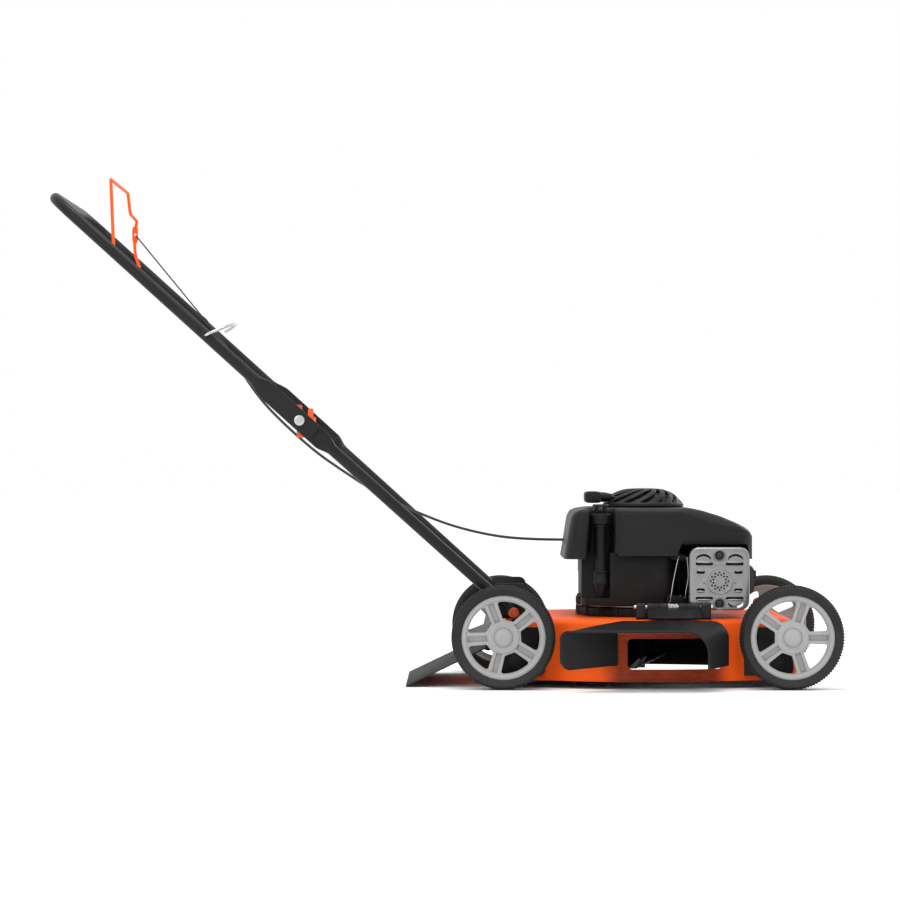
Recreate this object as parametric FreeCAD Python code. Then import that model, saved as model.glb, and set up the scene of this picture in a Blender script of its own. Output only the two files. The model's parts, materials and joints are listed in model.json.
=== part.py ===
import FreeCAD, Part
import math
import os

# Walk-behind side-discharge mower, millimetres.
# +X is forward, +Y is the operator's left, +Z is up.
# The origin is on the ground, midway between the wheel tracks, near the middle of the overall length.

# Wheels and axles
WHEEL_R = 101.5
WHEEL_WIDTH = 50.0
TRACK_OUT = 270.0
RIM_R = 83.0
RIM_INNER_R = 69.5
HUB_R = 32.5
REAR_AXLE_X = 113.0
FRONT_AXLE_X = 674.0
AXLE_R = 6.0
AXLE_ARM_X = 27.0
AXLE_ARM_Z = 26.5
WHEEL_IN = TRACK_OUT - WHEEL_WIDTH

# Deck
DECK_REAR = 100.0
DECK_FRONT = 700.0
DECK_HALF = 203.0
DECK_BULGE = 249.0
DECK_BULGE_REAR = 205.0
DECK_BULGE_FRONT = 590.0
DECK_BOTTOM = 15.0
DECK_TOP = 134.0
DECK_DRAFT = 16.0
DECK_EDGE_R = 13.0
DECK_SHEET = 2.0
OPENING_REAR = 355.0
OPENING_FRONT = 541.0
OPENING_BOTTOM = 38.5
OPENING_TOP = 98.0
AXLE_PLATE_TOP = 118.0
AXLE_PLATE_BOTTOM = 24.0
AXLE_BOSS_R = 16.0

# Engine, on the crank axis
CRANK_X = 393.5
SUMP_TOP = 157.0
SUMP_R = 128.0
BOLT_AHEAD = 92.0
BOLT_BEHIND = 88.0
BOLT_SIDE = 64.0
CASE_TOP = 262.0
CASE_REAR = 271.0
CASE_FRONT = 456.0
CASE_RIGHT = -132.0
CASE_LEFT = 104.0
BARREL_Z = 214.0
BARREL_R = 42.0
BORE_R = 32.5
OIL_X = 308.0
OIL_Y = -117.0
OIL_SEAT_Z = 172.0
SHROUD_TOP = 351.0
SHROUD_REAR = 228.0
SHROUD_FRONT = 607.0
SHROUD_LOW = 250.0
SHROUD_STEP = 262.0
SHROUD_WINDOW = 280.0
SHROUD_APRON = 256.0
SHROUD_HALF = 155.0
SHROUD_WALL = 3.0
DOME_R = 79.0
DOME_TOP = 389.5

# Fuel tank on the left of the housing
TANK_REAR = 275.0
TANK_FRONT = 430.0
TANK_RIGHT = 159.0
TANK_LEFT = 232.0
TANK_BOTTOM = 206.0
TANK_TOP = 318.0
CAP_X = 318.0
CAP_Y = 196.0

# Muffler and its guard
CAN_BOTTOM = 160.0
CAN_TOP = 268.0
GUARD_REAR = 479.0
GUARD_FRONT = 598.0
GUARD_BOTTOM = 151.0
GUARD_TOP = 275.0
GUARD_Y = -190.0
GUARD_SCREW_HIGH = 259.0
GUARD_SCREW_LOW = 164.0

# Handle
TUBE_R = 11.1
PIVOT_X = -283.4
PIVOT_Z = 523.6
BAR_X = -765.9
BAR_Z = 960.5
UPPER_HALF = 252.0
LOWER_HALF_TOP = 246.0
LOWER_HALF_END = 190.0
LOWER_END_X = 125.0
LOWER_END_Z = 155.0
FLAT_HEIGHT = 37.0
FLAT_THICK = 6.0
BOLT_R = 4.0
TUBE_WALL = 1.5
FIT = 0.05

# Bail
BAIL_PIVOT_X = -648.0
BAIL_PIVOT_Z = 854.0
BAIL_R = 3.25
BAIL_HALF = 150.0
BAIL_LEG_Y = 228.0
BAIL_TOP_Z = 1001.0

# Discharge deflector hinge, rear flap hinge
HINGE_Y = -200.0
HINGE_Z = 158.0
HINGE_ROD_R = 4.0
HOOD_Y = -333.0
HOOD_WALL = 3.0
HOOD_REAR_IN = 334.0
HOOD_FRONT_IN = 548.0
HOOD_REAR_OUT = 222.0
HOOD_FRONT_OUT = 506.0
FLAP_X = 84.0
FLAP_Z = 78.0
FLAP_ROD_R = 3.0

# Stop cable, from the clip on the upper tube to the rear of the blower housing
CABLE_R = 2.75
WIRE_R = 1.2
CABLE_SPLIT_X = -289.0
CABLE_ROUTE = (
    (-506, 232, 737),
    (-468, 229, 692),
    (-426, 223, 622),
    (-386, 214, 567),
    (-343, 206, 524),
    (-308, 200, 492),
    (-266, 192, 457),
    (-222, 184, 427),
    (-172, 176, 394),
    (-116, 168, 362),
    (-56, 159, 335),
    (4, 148, 312),
    (60, 134, 297),
    (116, 115, 287),
    (172, 92, 283.5),
    (226, 69, 283),
    (262, 60, 283),
)

SIDES = ((-1, "right"), (1, "left"))
X_AXIS = FreeCAD.Vector(1, 0, 0)
Y_AXIS = FreeCAD.Vector(0, 1, 0)
Z_AXIS = FreeCAD.Vector(0, 0, 1)


def vec(x, y, z):
    return FreeCAD.Vector(x, y, z)


def box(x0, x1, y0, y1, z0, z1):
    low_y = min(y0, y1)
    return Part.makeBox(x1 - x0, abs(y1 - y0), z1 - z0, vec(x0, low_y, z0))


def rod(start, end, radius):
    line = end - start
    return Part.makeCylinder(radius, line.Length, start, line)


def ring(start, end, outer, inner):
    return rod(start, end, outer).cut(rod(start, end, inner))


def prism(points, travel):
    face = Part.Face(Part.makePolygon(points + [points[0]]))
    return face.extrude(travel)


def rounded_box(x0, x1, y0, y1, z0, z1, radius, along="Z"):
    block = box(x0, x1, y0, y1, z0, z1)
    picked = []
    for edge in block.Edges:
        way = edge.tangentAt(edge.FirstParameter)
        if abs(getattr(way, along.lower())) > 0.9:
            picked.append(edge)
    return block.makeFillet(radius, picked)


def fuse_all(shapes):
    whole = shapes[0].multiFuse(shapes[1:])
    return whole.removeSplitter()


def group(shapes):
    return Part.makeCompound(shapes)


def polar(centre, radius, degrees):
    """A point in the XZ plane, turned from +X towards +Z."""
    angle = math.radians(degrees)
    return centre + vec(radius * math.cos(angle), 0, radius * math.sin(angle))


def bend_radii(points, share):
    """The arc at each inner point, as large as its two runs allow."""
    radii = []
    for a, b, c in zip(points, points[1:], points[2:]):
        turn = (b - a).getAngle(c - b)
        run = min((b - a).Length, (c - b).Length)
        radii.append(share * run / math.tan(turn / 2))
    return radii


def pipe(points, radius, bends=None, share=0.45):
    """A round bar along straight runs joined by tangent arcs."""
    radii = bend_radii(points, share)
    if bends is not None:
        radii = [min(r, bends) for r in radii]
    edges = []
    here = points[0]
    for i, r in enumerate(radii):
        a, b, c = points[i], points[i + 1], points[i + 2]
        into = (b - a).normalize()
        out = (c - b).normalize()
        turn = into.getAngle(out)
        back = r * math.tan(turn / 2)
        first = b - into * back
        last = b + out * back
        inward = (out - into).normalize()
        middle = b + inward * (r / math.cos(turn / 2) - r)
        edges.append(Part.LineSegment(here, first).toShape())
        edges.append(Part.Arc(first, middle, last).toShape())
        here = last
    edges.append(Part.LineSegment(here, points[-1]).toShape())
    path = Part.Wire(edges)
    section = Part.Wire(Part.makeCircle(radius, points[0], points[1] - points[0]))
    return path.makePipeShell([section], True, False)


# ---------------------------------------------------------------- deck


def deck_outline(inset, z):
    """Plan outline: straight ends with round corners and a bulge around the blade on each side."""
    rear = DECK_REAR + inset
    front = DECK_FRONT - inset
    half = DECK_HALF - inset
    bulge = DECK_BULGE - inset
    corner = 40.0 - 0.5 * inset
    diag = corner * (1 - math.sqrt(0.5))
    edges = []
    for side in (-1, 1):
        a = vec(rear + corner, side * half, z)
        b = vec(DECK_BULGE_REAR, side * half, z)
        top = vec(CRANK_X, side * bulge, z)
        c = vec(DECK_BULGE_FRONT, side * half, z)
        d = vec(front - corner, side * half, z)
        edges.append(Part.makeLine(a, b))
        edges.append(Part.Arc(b, top, c).toShape())
        edges.append(Part.makeLine(c, d))
        front_mid = vec(front - diag, side * (half - diag), z)
        front_end = vec(front, side * (half - corner), z)
        edges.append(Part.Arc(d, front_mid, front_end).toShape())
        rear_mid = vec(rear + diag, side * (half - diag), z)
        rear_end = vec(rear, side * (half - corner), z)
        edges.append(Part.Arc(a, rear_mid, rear_end).toShape())
    for x in (rear, front):
        low = vec(x, -(half - corner), z)
        high = vec(x, half - corner, z)
        edges.append(Part.makeLine(low, high))
    return Part.Wire(Part.__sortEdges__(edges))


def deck_form(inset, bottom, top, edge_r):
    low = deck_outline(inset, bottom)
    high = deck_outline(inset + DECK_DRAFT, top)
    form = Part.makeLoft([low, high], True, True)
    edges = []
    for edge in form.Edges:
        if edge.BoundBox.ZMin > top - 0.1:
            edges.append(edge)
    return form.makeFillet(edge_r, edges)


def deck_shell():
    outer = deck_form(0.0, DECK_BOTTOM, DECK_TOP, DECK_EDGE_R)
    inner = deck_form(DECK_SHEET, DECK_BOTTOM, DECK_TOP - DECK_SHEET, DECK_EDGE_R - DECK_SHEET)
    lip_out = Part.Face(deck_outline(-5.0, DECK_BOTTOM)).extrude(vec(0, 0, DECK_SHEET))
    lip_in = Part.Face(deck_outline(1.5, DECK_BOTTOM)).extrude(vec(0, 0, DECK_SHEET))
    shell = outer.cut(inner).fuse(lip_out.cut(lip_in))
    opening = rounded_box(OPENING_REAR, OPENING_FRONT, -280, -180, OPENING_BOTTOM, OPENING_TOP, 10, "Y")
    hub_hole = rod(vec(CRANK_X, 0, DECK_TOP - 20), vec(CRANK_X, 0, DECK_TOP + 5), 56)
    cuts = [opening, hub_hole]
    for x in (REAR_AXLE_X + AXLE_ARM_X, FRONT_AXLE_X - AXLE_ARM_X):
        z = WHEEL_R - AXLE_ARM_Z
        cuts.append(rod(vec(x, -230, z), vec(x, 230, z), AXLE_R + 2))
    for place in front_bolt_places() + rear_bolt_places():
        cuts.append(rod(place - Z_AXIS * 10, place + Z_AXIS * 10, BOLT_R))
    return shell.cut(group(cuts)).removeSplitter()


def deck_side(z):
    """Half width of the deck's straight side at one height."""
    return DECK_HALF - DECK_DRAFT * (z - DECK_BOTTOM) / (DECK_TOP - DECK_BOTTOM)


def axle_brackets():
    """A sheet plate with a bearing boss for each axle rod, against each side of the deck."""
    plates = []
    rod_z = WHEEL_R - AXLE_ARM_Z
    deck_solid = deck_form(0.0, DECK_BOTTOM, DECK_TOP, DECK_EDGE_R)
    spans = ((REAR_AXLE_X + AXLE_ARM_X, 104.0, 196.0), (FRONT_AXLE_X - AXLE_ARM_X, 574.0, 682.0))
    for x, rear, front in spans:
        for side, _ in SIDES:
            low = deck_side(AXLE_PLATE_BOTTOM)
            high = deck_side(AXLE_PLATE_TOP)
            section = [
                vec(rear, side * (low - 1), AXLE_PLATE_BOTTOM),
                vec(rear, side * (low + 2.5), AXLE_PLATE_BOTTOM),
                vec(rear, side * (high + 2.5), AXLE_PLATE_TOP),
                vec(rear, side * (high - 1), AXLE_PLATE_TOP),
            ]
            sheet = prism(section, vec(front - rear, 0, 0))
            trim = rounded_box(rear, front, side * 180, side * 215, AXLE_PLATE_BOTTOM, AXLE_PLATE_TOP, 12, "Y")
            boss = rod(vec(x, side * 190, rod_z), vec(x, side * 203.5, rod_z), AXLE_BOSS_R)
            bore = rod(vec(x, side * 180, rod_z), vec(x, side * 210, rod_z), AXLE_R + FIT)
            plate = sheet.common(trim).fuse(boss).cut(bore).cut(deck_solid)
            plates.append(plate)
    return group(plates)


def handle_brackets():
    """Two angle brackets on the deck that take the ends of the lower handle."""
    brackets = []
    for side, _ in SIDES:
        base = rounded_box(92, 172, side * 128, side * 166, DECK_TOP, DECK_TOP + 3, 8)
        upright = rounded_box(92, 165, side * 164, side * 168, DECK_TOP, 203, 14, "Y")
        bracket = base.fuse(upright)
        for place, _ in lower_bolt_places(side):
            start = vec(place.x, side * 150, place.z)
            end = vec(place.x, side * 180, place.z)
            bracket = bracket.cut(rod(start, end, 3.2))
        brackets.append(bracket.removeSplitter())
    return group(brackets)


def flap_hinge_rod():
    """The rod behind the deck that the rear flap hangs on, with its three tabs."""
    z = FLAP_Z
    bar = rod(vec(FLAP_X, -198, z), vec(FLAP_X, 198, z), FLAP_ROD_R)
    tabs = [bar]
    for y in (-160, 0, 160):
        tab = rounded_box(FLAP_X - 7, 110, y - 2, y + 2, z - 7, z + 7, 3, "Y")
        tabs.append(tab)
    deck_solid = deck_form(0.0, DECK_BOTTOM, DECK_TOP, DECK_EDGE_R)
    return fuse_all(tabs).cut(deck_solid)


def rear_flap():
    """A trailing sheet from the rod down to the ground, rolled round the rod between the tabs."""
    tip = vec(-77, 0, 1.2)
    root = vec(FLAP_X, 0, FLAP_Z)
    slope = math.atan2(root.z - tip.z, root.x - tip.x)
    along = vec(-math.cos(slope), 0, -math.sin(slope))
    normal = vec(-math.sin(slope), 0, math.cos(slope))
    length = (root - tip).Length
    start = root + along * 5.0
    end = root + along * length
    corners = [start, end, end + normal * 2.5, start + normal * 2.5]
    corners = [c + vec(0, -192, 0) for c in corners]
    sheet = prism(corners, vec(0, 384, 0))
    roll = ring(vec(FLAP_X, -192, FLAP_Z), vec(FLAP_X, 192, FLAP_Z), 6.0, FLAP_ROD_R + FIT)
    flap = sheet.fuse(roll)
    for y in (-160, 0, 160):
        flap = flap.cut(box(FLAP_X - 14, FLAP_X + 12, y - 4, y + 4, FLAP_Z - 14, FLAP_Z + 10))
    return flap.removeSplitter()


# ---------------------------------------------------------------- discharge deflector


def chute_hinge_bracket():
    """Two ears on the deck's shoulder that hold the deflector's rod."""
    parts = []
    for x0, x1 in ((374, 392), (500, 520)):
        ear = rounded_box(x0, x1, -212, -191.5, DECK_TOP, HINGE_Z + 8, 6, "X")
        parts.append(ear)
    base = box(374, 520, -194, -172, DECK_TOP, DECK_TOP + 5)
    parts.append(base)
    bracket = fuse_all(parts)
    bore = rod(vec(370, HINGE_Y, HINGE_Z), vec(524, HINGE_Y, HINGE_Z), HINGE_ROD_R)
    return bracket.cut(bore)


def chute_hinge_rod():
    return rod(vec(370, HINGE_Y, HINGE_Z), vec(524, HINGE_Y, HINGE_Z), HINGE_ROD_R)


def chute_spring():
    """Torsion spring round the rod: a close coil with a straight tail to the bracket's base."""
    wire = 1.1
    pitch = 2.6
    radius = HINGE_ROD_R + 1.6 + wire
    helix = Part.makeHelix(pitch, 7 * pitch, radius)
    section = Part.Wire(Part.makeCircle(wire, vec(radius, 0, 0), Y_AXIS))
    coil = Part.Wire(helix).makePipeShell([section], True, True)
    coil.rotate(vec(0, 0, 0), Y_AXIS, 90)
    coil.translate(vec(436, HINGE_Y, HINGE_Z))
    tail = rod(vec(436, HINGE_Y, HINGE_Z - radius), vec(436, HINGE_Y + 16, DECK_TOP + 5.5), wire)
    return coil.fuse(tail)


def hood_frame(y, rear, front, top, bottom, inset):
    """Outline of the hood at one distance from the deck: an upright rear side, a roof and a round front corner."""
    low = bottom - 10 * inset
    left = rear + inset
    right = front - inset
    high = top - inset
    r_left = 16 - inset
    r_right = 32 - inset
    slack = 1 - math.sqrt(0.5)
    a = vec(left, y, low)
    b = vec(left, y, high - r_left)
    b_mid = vec(left + r_left * slack, y, high - r_left * slack)
    c = vec(left + r_left, y, high)
    d = vec(right - r_right, y, high)
    d_mid = vec(right - r_right * slack, y, high - r_right * slack)
    e = vec(right, y, high - r_right)
    f = vec(right, y, low)
    edges = [
        Part.makeLine(a, b),
        Part.Arc(b, b_mid, c).toShape(),
        Part.makeLine(c, d),
        Part.Arc(d, d_mid, e).toShape(),
        Part.makeLine(e, f),
        Part.makeLine(f, a),
    ]
    return Part.Wire(edges)


def hood_form(inset):
    deck_side = hood_frame(-246 + inset, HOOD_REAR_IN, HOOD_FRONT_IN, 136, 46, inset)
    outer_side = hood_frame(HOOD_Y - inset, HOOD_REAR_OUT, HOOD_FRONT_OUT, 113, 42, inset)
    return Part.makeLoft([deck_side, outer_side], True, True)


def deflector():
    """Plastic hood over the side opening, swept rearwards and open below, hung from its hinge barrel."""
    shell = hood_form(0.0).cut(hood_form(HOOD_WALL))
    hanger = prism(
        [
            vec(394, HINGE_Y - 5, HINGE_Z + 5),
            vec(394, -248, 135.8),
            vec(394, -248, 132.8),
            vec(394, HINGE_Y - 5, HINGE_Z + 1),
        ],
        vec(104, 0, 0),
    )
    barrel = rod(vec(394, HINGE_Y, HINGE_Z), vec(498, HINGE_Y, HINGE_Z), 8.0)
    apron = rounded_box(350, 514, -249, -238, 133, 136, 1.2, "X")
    hood = fuse_all([shell, hanger, barrel, apron])
    bore = rod(vec(390, HINGE_Y, HINGE_Z), vec(502, HINGE_Y, HINGE_Z), HINGE_ROD_R + FIT)
    window = box(430, 460, HINGE_Y - 9, HINGE_Y + 12, HINGE_Z - 9.5, HINGE_Z + 12)
    return hood.cut(bore).cut(window)


# ---------------------------------------------------------------- wheels and axles


def rim(x, side, spoke_start):
    """Five double-ribbed spokes between a hub with a domed cap and a deep rim."""
    centre = vec(x, 0, WHEEL_R)
    out = vec(0, side, 0)
    face = TRACK_OUT - 6
    back = WHEEL_IN + 4

    def at(y):
        return centre + out * y

    shapes = [
        ring(at(back), at(face), RIM_R, RIM_INNER_R + 5),
        ring(at(face - 12), at(face), RIM_R, RIM_INNER_R),
        ring(at(WHEEL_IN + 1), at(face), HUB_R - 8, AXLE_R + FIT),
        ring(at(face - 14), at(face), HUB_R, AXLE_R + FIT),
        rod(at(face - 4), at(face + 4), 17.8),
    ]
    for i in range(5):
        turn = spoke_start + 72 * i
        for offset in (-9.5, 9.5):
            rib = box(24, RIM_INNER_R + 3, -7, 7, offset - 2.8, offset + 2.8)
            rib.translate(vec(0, face - 8, 0))
            shapes.append(turned(rib, turn, side, centre))
        web = box(24, RIM_INNER_R + 3, -2, 2, -8, 8)
        web.translate(vec(0, face - 11, 0))
        shapes.append(turned(web, turn, side, centre))
    return fuse_all(shapes)


def turned(shape, degrees, side, centre):
    """Turn a shape about the wheel's axis, counted from +X towards +Z, and put it on its side."""
    placed = shape.copy()
    if side < 0:
        placed = placed.mirror(vec(0, 0, 0), Y_AXIS)
    placed.rotate(vec(0, 0, 0), Y_AXIS, -degrees)
    placed.translate(centre)
    return placed


def tyre(x, side):
    """A plastic tread ring with round shoulders and two circumferential grooves."""
    inside = side * WHEEL_IN
    outside = side * TRACK_OUT
    y0 = min(inside, outside)
    body = Part.makeCylinder(WHEEL_R, WHEEL_WIDTH, vec(x, y0, WHEEL_R), Y_AXIS)
    edges = []
    for edge in body.Edges:
        if abs(edge.tangentAt(edge.FirstParameter).y) < 0.5:
            edges.append(edge)
    body = body.makeFillet(7.0, edges)
    hole = Part.makeCylinder(RIM_R, WHEEL_WIDTH + 4, vec(x, y0 - 2, WHEEL_R), Y_AXIS)
    body = body.cut(hole)
    for y in (y0 + 18, y0 + 30):
        groove = Part.makeCylinder(WHEEL_R + 2, 3, vec(x, y, WHEEL_R), Y_AXIS)
        core = Part.makeCylinder(WHEEL_R - 3, 3, vec(x, y, WHEEL_R), Y_AXIS)
        body = body.cut(groove.cut(core))
    return body


def axle(x, way):
    """A cranked axle: a rod through the deck, an arm and a stub for the wheel at each end, and a lever.

    way is +1 where the wheels sit ahead of the rod and -1 where they sit behind it.
    """
    rod_x = x - way * AXLE_ARM_X
    rod_z = WHEEL_R - AXLE_ARM_Z
    pieces = [rod(vec(rod_x, -212, rod_z), vec(rod_x, 212, rod_z), AXLE_R)]
    for side, _ in SIDES:
        arm_start = vec(rod_x, side * 206, rod_z)
        arm_end = vec(x, side * 206, WHEEL_R)
        for place in (arm_start, arm_end):
            pieces.append(rod(place, place + vec(0, side * 6, 0), 11))
        line = (arm_end - arm_start).normalize()
        cross = vec(line.z, 0, -line.x) * 10
        corners = [arm_start - cross, arm_end - cross, arm_end + cross, arm_start + cross]
        pieces.append(prism(corners, vec(0, side * 6, 0)))
        pieces.append(rod(arm_end, vec(x, side * 258, WHEEL_R), AXLE_R))
    lever_side = way
    knob = lever_knob_place(x, way)
    foot = vec(rod_x, lever_side * 208, rod_z)
    reach = vec(knob.x - foot.x, 0, knob.z - foot.z)
    top = foot + reach
    up = vec(reach.x, 0, reach.z).normalize()
    cross = vec(up.z, 0, -up.x) * 6
    corners = [foot - cross, top - cross, top + cross, foot + cross]
    pieces.append(prism(corners, vec(0, lever_side * 3, 0)))
    return fuse_all(pieces)


def lever_knob_place(x, way):
    return vec(x - way * (AXLE_ARM_X - 6), way * 212.5, 147)


def lever_knob(x, way):
    centre = lever_knob_place(x, way)
    half = vec(0, 6, 0)
    ball = rod(centre - half, centre + half, 10.5)
    ball = ball.makeFillet(4.0, ball.Edges)
    rod_x = x - way * AXLE_ARM_X
    rod_z = WHEEL_R - AXLE_ARM_Z
    foot = vec(rod_x, way * 208, rod_z)
    up = centre - foot
    up.y = 0
    up.normalize()
    cross = vec(up.z, 0, -up.x) * 6
    corners = [foot - cross, foot + up * 90 - cross, foot + up * 90 + cross, foot + cross]
    slot = prism(corners, vec(0, way * 3, 0)).fuse(prism(corners, vec(0, -way * 0.5, 0)))
    low = centre - up * 11
    keep = rod(low, centre, 30)
    return ball.cut(slot.common(keep))


# ---------------------------------------------------------------- rotating blade assembly


def crankshaft():
    shaft = [
        rod(vec(CRANK_X, 0, 78), vec(CRANK_X, 0, 322), 12.5),
        rod(vec(CRANK_X, 0, 196), vec(CRANK_X, 0, 206), 34),
        rod(vec(CRANK_X, 0, 222), vec(CRANK_X, 0, 232), 34),
    ]
    return fuse_all(shaft)


def flywheel():
    disc = ring(vec(CRANK_X, 0, 276), vec(CRANK_X, 0, 292), 88, 12.5)
    parts = [disc]
    for i in range(16):
        vane = box(50, 86, -1.6, 1.6, 291, 312)
        vane.rotate(vec(0, 0, 0), Z_AXIS, 22.5 * i)
        vane.translate(vec(CRANK_X, 0, 0))
        parts.append(vane)
    return fuse_all(parts)


def blade_adapter():
    hub = ring(vec(CRANK_X, 0, 50), vec(CRANK_X, 0, 78), 19, 6)
    socket = ring(vec(CRANK_X, 0, 78), vec(CRANK_X, 0, 100), 19, 12.5)
    flange = ring(vec(CRANK_X, 0, 44), vec(CRANK_X, 0, 50), 34, 6)
    return fuse_all([hub, socket, flange])


def blade():
    """A cutting blade with a raised wing behind each sharpened tip."""
    half = 238.0
    bar = rounded_box(-half, half, -28, 28, 40, 44, 6)
    pieces = [bar]
    for side in (-1, 1):
        x0 = side * 150
        x1 = side * (half - 2)
        corners = [
            vec(x0, side * 14, 42),
            vec(x0, side * 28, 42),
            vec(x0, side * 36, 58),
            vec(x0, side * 33, 60),
        ]
        pieces.append(prism(corners, vec(x1 - x0, 0, 0)))
    whole = fuse_all(pieces)
    whole = whole.cut(rod(vec(0, 0, 30), vec(0, 0, 60), 6))
    for side in (-1, 1):
        edge = prism(
            [vec(side * 150, -side * 28.5, 39), vec(side * 150, -side * 18, 39), vec(side * 150, -side * 28.5, 44.5)],
            vec(side * 90, 0, 0),
        )
        whole = whole.cut(edge)
    whole.rotate(vec(0, 0, 0), Z_AXIS, 78)
    whole.translate(vec(CRANK_X, 0, 0))
    return whole


def blade_bolt():
    washer = rod(vec(CRANK_X, 0, 34), vec(CRANK_X, 0, 40), 19)
    head = hexagon(vec(CRANK_X, 0, 26), 10.5, 8)
    shank = rod(vec(CRANK_X, 0, 34), vec(CRANK_X, 0, 76), 6)
    return fuse_all([washer, head, shank])


def hexagon(centre, radius, height, axis="Z"):
    points = []
    for i in range(6):
        angle = math.radians(60 * i)
        c, s = radius * math.cos(angle), radius * math.sin(angle)
        points.append(centre + (vec(c, s, 0) if axis == "Z" else vec(c, 0, s)))
    travel = vec(0, 0, height) if axis == "Z" else vec(0, height, 0)
    return prism(points, travel)


# ---------------------------------------------------------------- engine


def front_bolt_places():
    """Two bolts ahead of the case, put in from above."""
    return [vec(CRANK_X + BOLT_AHEAD, side * BOLT_SIDE, DECK_TOP) for side, _ in SIDES]


def rear_bolt_places():
    """Two bolts behind the crank, put in from under the deck."""
    return [vec(CRANK_X - BOLT_BEHIND, side * BOLT_SIDE, DECK_TOP) for side, _ in SIDES]


def sump_cover():
    plate = rod(vec(CRANK_X, 0, DECK_TOP), vec(CRANK_X, 0, SUMP_TOP - 6), SUMP_R)
    plate = plate.fuse(rod(vec(CRANK_X, 0, SUMP_TOP - 6), vec(CRANK_X, 0, SUMP_TOP), SUMP_R - 8))
    pan = rod(vec(CRANK_X, 0, 116), vec(CRANK_X, 0, DECK_TOP), 50)
    whole = fuse_all([plate, pan])
    cuts = [rod(vec(CRANK_X, 0, 110), vec(CRANK_X, 0, 165), 12.5 + FIT)]
    hollow = ring(vec(CRANK_X, 0, DECK_TOP + 7), vec(CRANK_X, 0, SUMP_TOP + 1), 100, 30)
    for place in rear_bolt_places():
        hollow = hollow.cut(rod(place, place + Z_AXIS * 30, 11))
        cuts.append(rod(place - Z_AXIS, place + Z_AXIS * 14, BOLT_R))
    cuts.append(hollow)
    for place in front_bolt_places():
        cuts.append(rod(place - Z_AXIS, place + Z_AXIS * 30, BOLT_R))
        cuts.append(rod(place + Z_AXIS * 17, place + Z_AXIS * 30, 10))
    return whole.cut(group(cuts)).removeSplitter()


def engine_bolts():
    bolts = []
    for place in front_bolt_places():
        head = hexagon(vec(place.x, place.y, SUMP_TOP - 6), 8, 8)
        pocket = rod(vec(place.x, place.y, SUMP_TOP - 6), vec(place.x, place.y, SUMP_TOP + 4), 7.9)
        shank = rod(vec(place.x, place.y, DECK_TOP - 12), vec(place.x, place.y, SUMP_TOP - 6), BOLT_R)
        bolts.append(head.common(pocket).fuse(shank))
    for place in rear_bolt_places():
        under = DECK_TOP - DECK_SHEET
        head = hexagon(vec(place.x, place.y, under - 8), 8, 8)
        shank = rod(vec(place.x, place.y, under), vec(place.x, place.y, DECK_TOP + 14), BOLT_R)
        bolts.append(head.fuse(shank))
    return group(bolts)


def crankcase():
    """Vertical-shaft crankcase with a recess for the oil tube and the finned barrel pointing forward."""
    case = rounded_box(CASE_REAR, CASE_FRONT, CASE_RIGHT, CASE_LEFT, SUMP_TOP, CASE_TOP, 26)
    barrel = rod(vec(440, 0, BARREL_Z), vec(560, 0, BARREL_Z), BARREL_R)
    parts = [case, barrel]
    for i in range(7):
        x = 466 + i * 13
        parts.append(rounded_box(x, x + 4, -62, 62, 166, 262, 12, "X"))
    whole = fuse_all(parts)
    chamber = rounded_box(CASE_REAR + 8, CASE_FRONT - 8, -93, CASE_LEFT - 8, SUMP_TOP, CASE_TOP - 10, 22)
    bore = rod(vec(440, 0, BARREL_Z), vec(560, 0, BARREL_Z), BORE_R)
    shaft = rod(vec(CRANK_X, 0, 240), vec(CRANK_X, 0, 270), 12.5 + FIT)
    recess = rounded_box(CASE_REAR - 20, OIL_X + 18, CASE_RIGHT - 20, OIL_Y + 16, OIL_SEAT_Z, CASE_TOP + 10, 6)
    whole = whole.cut(group([chamber, bore, shaft])).cut(recess).removeSplitter()
    for place in front_bolt_places():
        whole = whole.cut(rod(place + Z_AXIS * 16, place + Z_AXIS * 40, 12))
    return whole


def piston():
    body = rod(vec(492, 0, BARREL_Z), vec(536, 0, BARREL_Z), BORE_R - 0.1)
    hollow = rod(vec(491, 0, BARREL_Z), vec(522, 0, BARREL_Z), 26)
    pin = rod(vec(506, -32, BARREL_Z), vec(506, 32, BARREL_Z), 6)
    return fuse_all([body.cut(hollow), pin.common(body)])


def connecting_rod():
    small = ring(vec(506, -8, BARREL_Z), vec(506, 8, BARREL_Z), 11, 6 + FIT)
    shank = box(441, 496, -5, 5, BARREL_Z - 6, BARREL_Z + 6)
    return fuse_all([small, shank])


def piston_and_rod():
    return group([piston(), connecting_rod()])


def cylinder_head():
    parts = [rounded_box(560, 574, -60, 60, 158, 270, 10, "X")]
    for i in range(7):
        y = -45 + i * 15
        parts.append(box(573, 596, y - 1.8, y + 1.8, 170, 258))
    whole = fuse_all(parts)
    return whole.cut(rod(vec(570, 0, BARREL_Z), vec(600, 0, BARREL_Z), 11))


def spark_plug():
    """The plug with its rubber boot pushed over it."""
    shapes = [
        rod(vec(574, 0, BARREL_Z), vec(586, 0, BARREL_Z), 8),
        rod(vec(586, 0, BARREL_Z), vec(606, 0, BARREL_Z), 6),
        rounded_box(602, 628, -9, 9, BARREL_Z - 9, BARREL_Z + 9, 5, "X"),
    ]
    return fuse_all(shapes)


def ignition_coil():
    core = rounded_box(484, 504, -26, 26, 276, 300, 3)
    winding = rounded_box(486, 516, -15, 15, 272, 304, 6)
    return fuse_all([core, winding])


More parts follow.
